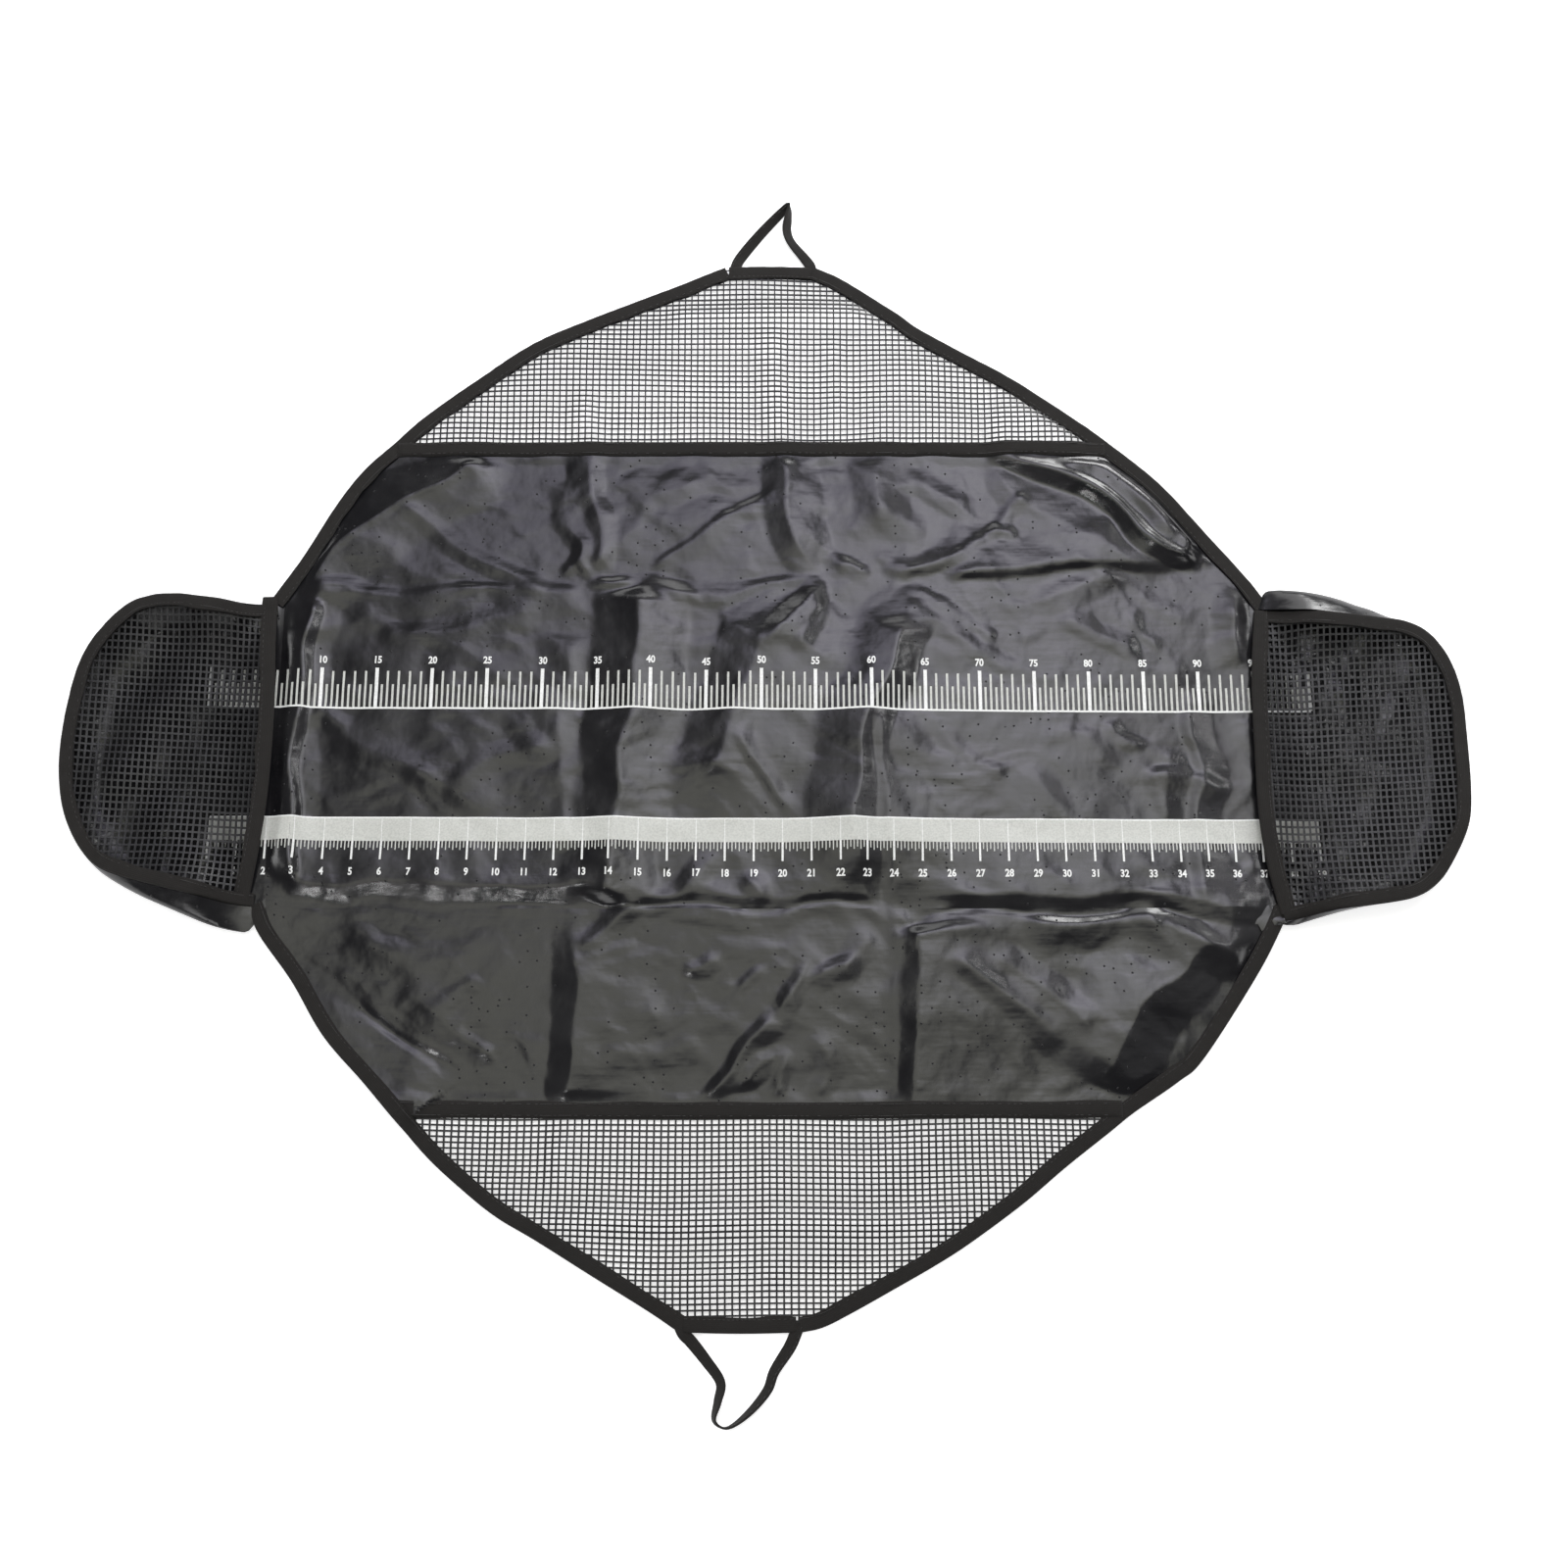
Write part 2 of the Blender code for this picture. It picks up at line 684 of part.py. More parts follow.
def build_pocket_net(name, materials, frame, hinge, rim, mouth):
    """Net over the pocket, from the rim's slot to the slot of the mouth tape."""
    border = rim[1:-1]
    outline = [s.place(SHEET_INSET, NET_LEVEL) for s in border]
    outline += [border[-1].place(BAND, NET_LEVEL)]
    outline += [s.place(SHEET_INSET, SHEET_INSET) for s in mouth]
    outline += [border[0].place(BAND, NET_LEVEL)]
    layout = Layout(outline)
    layout.line([s.place(BAND, NET_LEVEL) for s in border])
    layout.line([s.place(BAND, SHEET_INSET) for s in mouth])
    fence = [s.at(BAND + NET_SELVEDGE) for s in border[2:-2]]
    fence += [s.at(BAND + NET_SELVEDGE) for s in mouth[1:-1]]
    for gap in net_gaps(fence, net_level):
        layout.gap(gap)
    sheet_object(name, layout.surface(), NET_THICKNESS, materials["net"], frame, hinge)


def build_pocket(name, turn, materials):
    """Floor, net and tapes of one end pocket, on the fold at its mouth."""
    middle = POCKET_MIDDLE_Y
    fold_x = POCKET_FOLD_X
    if turn:
        fold_x = -fold_x
    axis = make_empty(f"{name}_axis", None, (fold_x, middle, RIM_STACK), turn)
    hinge = (0.0, 0.0, RIM_STACK)
    rim = rim_stations()
    mouth = mouth_stations()
    build_pocket_floor(f"{name}_floor", materials, axis, hinge, rim)
    build_pocket_net(f"{name}_net", materials, axis, hinge, rim, mouth)
    make_object(f"{name}_rim_tape", tape_body(rim[1:-1], RIM_SLOT), materials["tape"],
                axis, hinge)
    make_object(f"{name}_mouth_tape", tape_body(mouth, TAPE_SLOT), materials["tape"],
                axis, hinge)


def main():
    """Build the whole sling."""
    for old in list(bpy.data.objects):
        bpy.data.objects.remove(old, do_unlink=True)
    materials = {
        "pvc": make_material("black_pvc", (0.030, 0.030, 0.034), 0.28, 0.3),
        "net": make_material("black_net", (0.026, 0.026, 0.028), 0.55, 0.0),
        "tape": make_material("black_tape", (0.030, 0.027, 0.025), 0.90, 0.0),
    }
    build_centre(materials)
    for wing in (REAR, FRONT):
        build_wing(wing, materials)
    build_pocket("right_pocket", 0.0, materials)
    build_pocket("left_pocket", math.pi, materials)


main()
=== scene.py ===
import logging
import math
from collections.abc import Callable
from dataclasses import dataclass
from enum import Enum
from functools import cache

import bmesh
import bpy
import numpy as np
from bpy.types import Material, Node, NodeSocket, NodeTree, Object
from mathutils import Euler, Matrix, Vector
from mathutils.bvhtree import BVHTree


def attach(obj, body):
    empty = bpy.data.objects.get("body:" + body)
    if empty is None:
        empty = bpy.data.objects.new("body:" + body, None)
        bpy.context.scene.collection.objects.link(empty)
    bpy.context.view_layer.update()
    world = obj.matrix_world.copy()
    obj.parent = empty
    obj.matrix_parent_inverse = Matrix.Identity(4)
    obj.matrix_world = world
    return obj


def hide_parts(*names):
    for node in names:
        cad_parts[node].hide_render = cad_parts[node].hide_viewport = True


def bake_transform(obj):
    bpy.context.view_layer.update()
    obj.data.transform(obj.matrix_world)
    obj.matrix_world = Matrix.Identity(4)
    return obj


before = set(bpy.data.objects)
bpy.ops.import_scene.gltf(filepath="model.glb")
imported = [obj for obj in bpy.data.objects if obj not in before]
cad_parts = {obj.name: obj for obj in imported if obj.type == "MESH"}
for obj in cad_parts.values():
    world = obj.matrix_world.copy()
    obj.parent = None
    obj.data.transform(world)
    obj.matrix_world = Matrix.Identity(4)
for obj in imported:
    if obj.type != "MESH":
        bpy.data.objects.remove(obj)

log = logging.getLogger("weigh_sling")

Array = np.ndarray
BMesh = bmesh.types.BMesh
Line = tuple[tuple[float, ...], ...]


def metres(text: str, columns: int = 2) -> Line:
    """Reads points that are written in millimetres.

    Args:
        text: the points' numbers, one after another.
        columns: how many numbers each point has.

    Returns:
        The points in metres.
    """
    numbers = [float(word) / 1000 for word in text.split()]
    return tuple(zip(*(numbers[k::columns] for k in range(columns))))


class Slot(Enum):
    """The record's material slots."""

    PVC = "pvc"
    NET = "net"
    TAPE = "tape"


class Side(Enum):
    """A side of the sling."""

    @property
    def word(self) -> str:
        """The word that the names of this side's pieces begin with."""
        return self.name.lower()


class Wing(Side):
    """The two long sides, by the way they point along y."""

    REAR = 1
    FRONT = -1


class Hand(Side):
    """The two ends of the sling, by the way they point along x."""

    LEFT = -1
    RIGHT = 1


@dataclass(frozen=True)
class Cloth:
    """What the sling is sewn from, and the lines that its pieces meet on, in metres."""

    pvc: float = 0.0006
    net: float = 0.0014
    tape: float = 0.0008
    tape_width: float = 0.0135
    rear_crease: float = 0.1555
    front_crease: float = -0.1330
    mouth_x: float = 0.4440
    corner_x: float = 0.4565
    rear_seam: float = 0.3160
    front_seam: float = -0.3165
    mesh: float = 0.0025


CLOTH = Cloth()


# Lines and distances in plan


def smooth(share: Array) -> Array:
    """An S curve from 0 to 1 over shares from 0 to 1."""
    held = np.clip(share, 0.0, 1.0)
    return held * held * (3.0 - 2.0 * held)


def curve(points: Line | Array, step: float = 0.004) -> Array:
    """A smooth line through points.

    Args:
        points: the points that it passes, in any number of dimensions.
        step: the length from one point of the line to the next.

    Returns:
        The line's points, evenly spaced.
    """
    given = np.asarray(points, float)
    ends = np.vstack([2 * given[0] - given[1], given, 2 * given[-1] - given[-2]])
    share = np.linspace(0.0, 1.0, 24, endpoint=False)[:, None]
    spans = []
    for a, b, c, d in zip(ends, ends[1:], ends[2:], ends[3:]):
        spans.append(0.5 * (2 * b + (c - a) * share + (2 * a - 5 * b + 4 * c - d) * share**2
                            + (3 * b - a - 3 * c + d) * share**3))
    fine = np.vstack([*spans, given[-1:]])
    return evenly(fine, max(2, round(travel(fine)[-1] / step) + 1))


def travel(line: Array) -> Array:
    """The length of a line up to each of its points."""
    steps = np.linalg.norm(np.diff(line, axis=0), axis=1)
    return np.concatenate([[0.0], np.cumsum(steps)])


def evenly(line: Array, count: int) -> Array:
    """The same line with count points at equal steps of its length."""
    along = travel(line)
    wanted = np.linspace(0.0, along[-1], count)
    return np.stack([np.interp(wanted, along, column) for column in line.T], 1)


def tangents(line: Array) -> Array:
    """The unit direction of a line at each of its points."""
    way = np.gradient(line, axis=0)
    return way / np.maximum(np.linalg.norm(way, axis=1, keepdims=True), 1e-12)


def lefts(line: Array) -> Array:
    """The unit direction to the left of a line in plan, at each of its points."""
    way = tangents(line)
    return np.column_stack([-way[:, 1], way[:, 0]])


def to_line(x: Array, y: Array, line: Array) -> tuple[Array, ...]:
    """How points lie to a line in plan.

    Args:
        x: the points' x, in any shape.
        y: the points' y, in the same shape.
        line: the line's points in plan.

    Returns:
        The signed distance, positive to the left of the line's way, the length along the
        line to the nearest point, and that point's x and y.
    """
    best = np.full(np.shape(x), np.inf)
    signed, along = np.zeros(np.shape(x)), np.zeros(np.shape(x))
    near_x, near_y = np.zeros(np.shape(x)), np.zeros(np.shape(x))
    run = 0.0
    for (ax, ay), (bx, by) in zip(line, line[1:]):
        dx, dy = bx - ax, by - ay
        size = math.hypot(dx, dy) + 1e-12
        share = np.clip(((x - ax) * dx + (y - ay) * dy) / size**2, 0.0, 1.0)
        px, py = ax + share * dx, ay + share * dy
        distance = np.hypot(x - px, y - py)
        side = np.where(dx * (y - ay) - dy * (x - ax) >= 0, 1.0, -1.0)
        closer = distance < best
        best = np.where(closer, distance, best)
        signed = np.where(closer, distance * side, signed)
        along = np.where(closer, run + share * size, along)
        near_x, near_y = np.where(closer, px, near_x), np.where(closer, py, near_y)
        run += size
    return signed, along, near_x, near_y


def clear(x: Array, y: Array, lines: list[Array], inset: float, run: float) -> Array:
    """How clear points are of lines: 0 within the inset of one, 1 where its run is over."""
    share = np.ones(np.shape(x))
    for line in lines:
        share = share * smooth((np.abs(to_line(x, y, line[::3])[0]) - inset) / run)
    return share


# The relief of the sheet

ROUTE_STEP = 0.012

# Rows of height, left run, right run, crest and fade | the route's x and y, in millimetres
SHEET_FOLDS = """
# The long storage fold at the foot of the rear wing
1.8 8 22 1.5 20 | -437 162 -400 160 -357 163 -283 167 -202 165 -166 168
1.6 10 20 1.5 20 | -129 165 -57 166 -3 169 54 177
3.2 44 9 0.8 28.8 | 161 181 224 189 270 194 334 196 388 195
2 10 12 1.5 18 | -426 169 -397 172 -365 166
# The long storage fold at the foot of the front wing
3.8 34 17 0.8 34.2 | -445 -102 -384 -106 -306 -108 -227 -111 -149 -117
-0.7 3 4 0.5 15 | -434 -128 -382 -130 -296 -132 -192 -132 -123 -131 -2 -132 106 -133
1.8 26 9 0.6 20 | -123 -122 -71 -121 15 -123 85 -122 106 -117
2 14 12 0.6 18 | -23 -96 -6 -114 7 -125
1.8 12 14 0.6 16.2 | -41 -81 -58 -100 -80 -120
4.4 60 15 0.6 39.6 | 124 -122 189 -122 275 -123 349 -124 396 -128 456 -136
-0.8 3 4 0.5 15 | 128 -137 188 -138 275 -139 352 -141 399 -146
1.3 8 14 1.5 15 | -157 -138 -54 -137 67 -137 106 -136
1.5 8 16 1.5 15 | 136 -141 240 -145 318 -143 352 -145
# Upright folds of the middle; left of their way is towards +x
9 45 41 0.8 20 | -119 171 -118 131 -120 83 -124 53 -129 8 -134 -49 -142 -96 -151 -132
7 70 42 1 52 | 0 169 -3 131 -15 83 -27 53 -39 13 -58 -15 -79 -37
7.6 24 42 0.8 62 | 131 173 129 131 112 83 94 53 83 18 79 -49 82 -96 93 -132
4 110 70 20 60 | 88 160 87 53 80 -49 93 -127
3.2 46 10 0.5 28.8 | 104 53 105 8 107 -49 113 -100 115 -134
2.6 20 34 1 30 | -175 131 -181 83 -191 53 -189 8 -183 -49 -183 -100
6.6 9 30 0.6 20 | -419 163 -420 121 -423 74 -426 36 -425 -10 -424 -49 -427 -109
1.6 14 8 0.5 20 | -408 160 -410 121 -413 74 -416 36 -414 -10 -413 -49 -414 -100
3.4 14 20 0.8 30.6 | 434 169 426 131 432 83
2 24 9 0.6 20 | 384 74 384 36 387 4 392 -19 382 -65 385 -100 392 -132
1.4 30 14 1 20 | 366 18 357 -19 356 -65
1.6 10 14 0.6 14.4 | 332 -21 363 -15 395 -21 416 -30
1.2 10 10 1.5 12 | 309 43 326 25 344 14
0.9 8 8 1.5 12 | 246 25 277 29 306 23
0.9 9 9 1.5 12 | 175 10 201 -3 218 -15
1.4 12 7 0.6 15 | -27 34 -13 10 7 -19 26 -45
1.4 16 16 1.5 25 | -388 32 -342 10 -284 -19 -230 -45
1.2 12 14 1.5 20 | -382 13 -319 -10 -288 -25
1.4 12 16 1.5 20 | -288 -19 -249 7 -197 25
1 10 12 1.5 12 | -196 -1 -224 32 -232 47
1.4 12 14 1.5 20 | -434 123 -390 131 -350 148
1.4 14 18 1.5 20 | -362 121 -282 131 -206 148
1 8 8 1.5 10 | -413 55 -393 41 -373 34
# Creases that fan out from the two knots of the rear fold
4.4 14 13 0.8 39.6 | 61 181 44 165 26 145 7 123 -6 104
2.4 12 14 1.5 21.6 | 53 163 34 131 26 104
0.9 12 9 1.5 20 | 111 169 137 145 182 116 230 83
0.8 8 8 1.5 15 | 129 171 155 152 196 131 204 116
2.4 8 9 0.8 21.6 | -166 181 -149 175 -130 177 -119 183
1.8 12 10 0.8 16.2 | -119 173 -102 171 -75 163 -55 165
2.2 10 12 0.8 19.8 | 54 189 68 195 85 189 99 177
# Rear wing
6 34 46 2 42 | -450 169 -412 202 -376 232 -324 268 -280 294 -243 306
0.8 4 7 0.6 17 | -448 171 -412 202 -376 232 -324 268 -280 294 -261 301
1.7 10 11 0.8 20 | -346 252 -304 223 -252 190 -203 165
1.4 22 20 1.5 30 | -403 208 -348 194 -283 169
3.2 15 26 0.9 28.8 | -168 336 -166 304 -163 268 -156 228 -160 181
1.1 14 12 1.5 15 | -192 278 -186 238 -178 208
5.6 34 21 0.6 42 | 12 338 14 304 16 253 29 216 50 183
3.8 30 24 2.5 34.2 | 102 332 103 304 105 263 108 216
1 20 22 3 20 | 51 292 80 278 112 253 152 220
1.5 6 16 0.8 20 | -110 186 -67 218 -21 252 10 274
1.5 16 14 1.5 15 | -132 286 -102 263 -76 270 -44 290
1.2 14 16 1.5 15 | -147 208 -122 233 -111 268
2.2 7 8 0.5 19.8 | -180 208 -170 194 -160 177
1.8 8 9 0.6 16.2 | -191 177 -176 203 -174 228
3.2 16 12 0.8 28.8 | 106 177 129 189 156 198 184 208
1.1 6 9 0.6 15 | 161 196 189 213 207 227 228 248 253 268
1.6 8 8 0.6 14.4 | 198 222 216 228 234 220
1.1 16 14 1.5 20 | 121 288 162 263 203 233
1.6 20 22 1.5 25 | 209 292 254 248 316 216 370 198
1.5 14 14 1.5 20 | 333 184 287 164 241 158
1.4 12 14 1.5 20 | 264 145 303 126 343 112
0.9 12 10 1.5 15 | 331 150 353 121 365 107
7 60 11 2.5 20 | 204 320 228 302 269 287 318 256 349 223 384 202 404 195
1.6 5 6 0.8 14.4 | 208 318 230 302 271 288 320 257 351 225 386 203 404 195
2.6 12 12 1 25 | 265 300 310 286 350 258 388 218
4.5 9 12 0.5 40.5 | 399 198 412 202 424 195
5 18 22 1.5 42 | 338 288 360 268 390 228 424 189
# Front wing
4.6 70 21 0.6 41.4 | -168 -140 -165 -197 -166 -249 -170 -303 -171 -333
2.2 12 14 0.6 19.8 | -163 -168 -140 -149 -109 -122
6.8 90 22 0.6 12 | 134 -143 134 -197 131 -249 127 -304 123 -334
0.8 5 8 0.5 12 | 112 -138 112 -197 109 -249 105 -304 103 -324
3 9 9 0.5 27 | 106 -129 121 -143 136 -136
3 9 24 1.5 27 | 223 -145 300 -147 352 -152 390 -164 424 -185
7 36 60 1 25 | 432 -162 378 -167 355 -193 327 -223 312 -252 288 -293
2.4 20 14 1.5 21.6 | 161 -175 203 -206 261 -259
1.8 18 16 1.5 20 | 196 -169 238 -201 287 -249
3 9 18 0.6 27 | -59 -301 -31 -274 -6 -244 11 -219
2.4 9 12 0.6 21.6 | -28 -298 -6 -272 22 -264
1.8 9 9 0.6 16.2 | 10 -306 15 -278 21 -257
1.8 10 12 1.5 16.2 | 46 -301 54 -274 34 -249
2.2 9 16 0.7 19.8 | 34 -206 58 -184 88 -178
2.4 10 14 0.7 21.6 | 7 -232 26 -206 34 -175
1.6 12 14 1.5 15 | 63 -197 77 -171 97 -154
0.9 7 10 1.2 15 | -300 -226 -273 -210 -246 -195
1.2 16 16 1.5 20 | -322 -201 -300 -214 -264 -253
1.2 9 12 1.5 12 | -278 -240 -255 -261 -234 -274
1.8 7 11 0.6 16.2 | -79 -194 -55 -182 -36 -169
1.4 7 9 0.6 12.6 | -29 -206 -14 -194 0 -184
1.2 14 14 1.5 20 | -145 -261 -103 -266 -52 -250
1.2 18 20 1.5 25 | -372 -162 -311 -178 -242 -169
-1.1 4 5 0.6 15 | -424 -169 -390 -191 -358 -216 -320 -245 -285 -266 -252 -296
1.2 16 16 1.5 20 | -138 -214 -87 -232 -53 -223
"""

NET_FOLDS = {
    Wing.REAR: """
3 14 14 1.5 30 | -105 452 0 452 110 450
2.4 20 12 1.5 30 | 12 316 8 380 4 450
2 20 12 1.5 30 | 70 320 66 380 60 440
2.2 20 12 1.5 30 | -175 320 -172 380
""",
    Wing.FRONT: """
3 14 14 1.5 30 | -200 -404 0 -404 190 -402
2.4 20 12 1.5 30 | -180 -318 -176 -390
2.4 20 12 1.5 30 | 0 -318 4 -390 2 -470
2.2 20 12 1.5 30 | 100 -318 104 -400
"""}


@dataclass(frozen=True)
class Route:
    """A form of the sheet along a route. Left and right are seen along it."""

    route: Line

    def reach(self, x: Array, y: Array, fade: float) -> tuple[Array, Array]:
        """How points in plan lie to the route.

        Args:
            x: the points' x.
            y: the points' y.
            fade: the length over which the form grows at each end.

        Returns:
            The signed distance, positive to the left, and the form's share, 0 at its ends.
        """
        line = curve(self.route, ROUTE_STEP)
        signed, along, _, _ = to_line(x, y, line)
        return signed, smooth(along / fade) * smooth((travel(line)[-1] - along) / fade)


@dataclass(frozen=True)
class Crease(Route):
    """A fold that stands up along a route, with a run on each side."""

    height: float
    left_run: float
    right_run: float
    crest: float
    fade: float
    foot: float = 0.004

    @staticmethod
    def table(text: str) -> "tuple[Crease, ...]":
        """Reads rows of height, left run, right run, crest, fade | route, in millimetres."""
        rows = (row.split("|") for row in text.strip().splitlines() if "#" not in row)
        return tuple(Crease(metres(route), *metres(form, 5)[0]) for form, route in rows)

    def lift(self, x: Array, y: Array) -> Array:
        """How far the fold lifts the sheet at points in plan, in metres."""
        signed, share = self.reach(x, y, self.fade)
        run = np.where(signed > 0, self.left_run, self.right_run)
        left = 1.0 - (np.sqrt(signed**2 + self.crest**2) - self.crest) / run
        rise = 0.5 * (left + np.sqrt(left**2 + self.foot)) - 0.25 * self.foot
        return self.height * rise * share


@dataclass(frozen=True)
class Wall(Route):
    """A part of the sheet that climbs on the left of a route."""

    slope: float
    soft: float
    fade: float

    def lift(self, x: Array, y: Array) -> Array:
        """How far the wall lifts the sheet at points in plan, in metres."""
        signed, share = self.reach(x, y, self.fade)
        bend = self.soft * np.logaddexp(0.0, np.clip(signed / self.soft, -40.0, 40.0))
        return self.slope * bend * share


@dataclass(frozen=True)
class Swell:
    """A soft mound or hollow."""

    middle: tuple[float, float]
    reach: tuple[float, float]
    height: float
    turn: float = 0.0

    def lift(self, x: Array, y: Array) -> Array:
        """How far the mound lifts the sheet at points in plan, in metres."""
        turn = math.radians(self.turn)
        dx, dy = x - self.middle[0], y - self.middle[1]
        across = (dx * math.cos(turn) + dy * math.sin(turn)) / self.reach[0]
        up = (dy * math.cos(turn) - dx * math.sin(turn)) / self.reach[1]
        return self.height * np.exp(-(across**2 + up**2))


def waves(x: Array, y: Array, seed: int, lengths: tuple[float, float],
          count: int = 14, ridged: bool = False) -> Array:
    """A pattern of plane waves in many directions.

    Args:
        x: the points' x.
        y: the points' y.
        seed: the seed of the waves' directions and places.
        lengths: the shortest and the longest wave, in metres.
        count: how many waves are added.
        ridged: whether the waves have sharp crests.

    Returns:
        Values of about -1 to 1.
    """
    rng = np.random.default_rng(seed)
    total = np.zeros(np.shape(x))
    for _ in range(count):
        turn, phase = rng.uniform(0, 2 * math.pi, 2)
        reach = math.exp(rng.uniform(math.log(lengths[0]), math.log(lengths[1])))
        wave = np.sin(2 * math.pi * (x * math.cos(turn) + y * math.sin(turn)) / reach + phase)
        total += (1.0 - 2.0 * np.abs(wave) ** 0.8) if ridged else wave
    return total / math.sqrt(count)


@dataclass(frozen=True)
class Relief:
    """How high the sheet lies over the floor, all over the sling.

    The corners and the pockets' mouths are lifted. The folds wander off their routes,
    with soft ridges, ripples and crumples between them, and what would dip below the
    slack is pressed to its share by the floor.
    """

    level: float = 0.0012
    unevenness: float = 0.0003
    mouth_lift: float = 0.0028
    wander: float = 0.006
    ridges: float = 0.00036
    ripples: float = 0.00022
    crumples: float = 0.00016
    slack: float = 0.0004
    pressed: float = 0.15
    corner_lift: float = 0.0035
    corner_reach: float = 0.0550
    walls: tuple[Wall, ...] = (
        Wall(metres("-250 -303 -262 -278 -317 -247 -382 -205 -448 -158"), 0.145, 0.0020, 0.07),)
    creases: tuple[Crease, ...] = Crease.table(SHEET_FOLDS)
    swells: tuple[Swell, ...] = (
        Swell((-0.290, 0.040), (0.080, 0.090), 0.0020),
        Swell((0.230, -0.040), (0.090, 0.070), 0.0022),
        Swell((0.020, -0.230), (0.060, 0.050), 0.0018),
        Swell((-0.300, -0.230), (0.050, 0.040), 0.0020, 30.0),
        Swell((0.250, -0.225), (0.080, 0.040), 0.0024, -10.0),
        Swell((0.300, 0.225), (0.060, 0.040), 0.0020, -30.0),
        Swell((-0.060, 0.240), (0.050, 0.045), 0.0020),
    )

    def base(self, x: Array, y: Array) -> Array:
        """The height without folds, which the tapes follow, in metres."""
        height = np.full(np.shape(x), self.level)
        for wall in self.walls:
            height = height + wall.lift(x, y)
        for hand in Hand:
            for edge in (CLOTH.rear_crease, CLOTH.front_crease):
                away = (x - hand.value * CLOTH.corner_x) ** 2 + (y - edge) ** 2
                height = height + self.corner_lift * np.exp(-away / self.corner_reach**2)
            out = hand.value * x
            mouth = smooth((out - 0.400) / 0.060) * smooth((0.600 - out) / 0.100)
            height = height + self.mouth_lift * mouth * np.exp(-(((y - 0.011) / 0.12) ** 2))
        return height + self.unevenness * (1.0 + waves(x, y, 5, (0.09, 0.20)))

    def folds(self, x: Array, y: Array) -> Array:
        """What the folds, mounds and crumples add to the base, in metres."""
        bend_x = x + self.wander * waves(x, y, 11, (0.05, 0.14), 8)
        bend_y = y + self.wander * waves(x, y, 12, (0.05, 0.14), 8)
        height = np.zeros(np.shape(x))
        for crease in self.creases:
            height = height + crease.lift(0.5 * (x + bend_x), 0.5 * (y + bend_y))
        for swell in self.swells:
            height = height + swell.lift(x, y)
        ridged = waves(bend_x, bend_y, 21, (0.06, 0.15), 10, ridged=True)
        height = height + self.ridges * ridged
        height = height + self.ripples * waves(bend_x, bend_y, 22, (0.035, 0.09), 12)
        for seed, turn in ((31, -28.0), (32, 38.0), (33, 4.0)):
            turn = math.radians(turn)
            along = (bend_x * math.cos(turn) + bend_y * math.sin(turn)) * 0.30
            across = bend_y * math.cos(turn) - bend_x * math.sin(turn)
            patch = smooth((waves(x, y, seed + 10, (0.10, 0.24), 8) + 0.1) / 1.2)
            fine = waves(along, across, seed, (0.012, 0.034), 12)
            height = height + self.crumples * patch * fine
        height = height + self.slack
        height = height * (1.0 - smooth((np.abs(x) - 0.432) / 0.016))
        return np.maximum(height, 0.0) + self.pressed * np.minimum(height, 0.0)

    def height(self, x: Array, y: Array, calm: Array | float = 1.0) -> Array:
        """The sheet's height.

        Args:
            x: the points' x.
            y: the points' y.
            calm: from 0 where the sheet is held flat in its tape to 1 where it is free.

        Returns:
            The heights in metres.
        """
        return self.base(x, y) + self.folds(x, y) * calm


RELIEF = Relief()


# Making meshes


def baked(name: str, bm: BMesh) -> bpy.types.Mesh:
    """A mesh for the scene from one being made, which is freed."""
    mesh = bpy.data.meshes.new(name)
    bm.to_mesh(mesh)
    bm.free()
    return mesh


def linked(name: str, data: bpy.types.ID) -> Object:
    """A new object in the scene."""
    thing = bpy.data.objects.new(name, data)
    bpy.context.scene.collection.objects.link(thing)
    return thing


def grid(points: Array, weave: Array | None = None) -> BMesh:
    """A sheet of quads through a table of points.

    Args:
        points: rows by columns by 3, in metres. Rows run so that up is x cross y.
        weave: rows by columns by 2, the place on the cloth in metres, for its weave.

    Returns:
        The new mesh, open at its edges.
    """
    rows, columns = points.shape[:2]
    bm = bmesh.new()
    bmesh.ops.create_grid(bm, x_segments=columns - 1, y_segments=rows - 1, size=0.5)
    layer = bm.verts.layers.float_vector.new("weave")
    flat = points.reshape(-1, 3)
    cloth = flat if weave is None else np.pad(weave.reshape(-1, 2), ((0, 0), (0, 1)))
    bm.verts.ensure_lookup_table()
    for vert, place, thread in zip(bm.verts, flat.tolist(), cloth.tolist()):
        vert.co = place
        vert[layer] = thread
    return bm


def woven(along: Array, shape: Array) -> Array:
    """The places on the cloth of a shape that is swept along a line."""
    return np.stack(np.broadcast_arrays(along[:, None], travel(shape)), 2)


def shell(bm: BMesh, thickness: float, sharp: float = 0.9) -> BMesh:
    """Gives an open sheet its thickness, below it, and keeps its cut edges crisp."""
    bm.normal_update()
    bmesh.ops.solidify(bm, geom=bm.faces[:], thickness=thickness)
    bm.normal_update()
    for edge in bm.edges:
        if len(edge.link_faces) == 2 and edge.calc_face_angle(0.0) > sharp:
            edge.smooth = False
    return bm


def tube(bm: BMesh) -> BMesh:
    """Closes a sheet whose first and last columns meet, and its two ends."""
    bmesh.ops.remove_doubles(bm, verts=bm.verts, dist=1e-6)
    bmesh.ops.holes_fill(bm, edges=[e for e in bm.edges if e.is_boundary])
    bmesh.ops.recalc_face_normals(bm, faces=bm.faces)
    return bm


def joined(parts: list[BMesh]) -> BMesh:
    """One mesh from several, which are freed."""
    bm = parts[0]
    for part in parts[1:]:
        spare = baked("spare", part)
        bm.from_mesh(spare)
        bpy.data.meshes.remove(spare)
    return bm


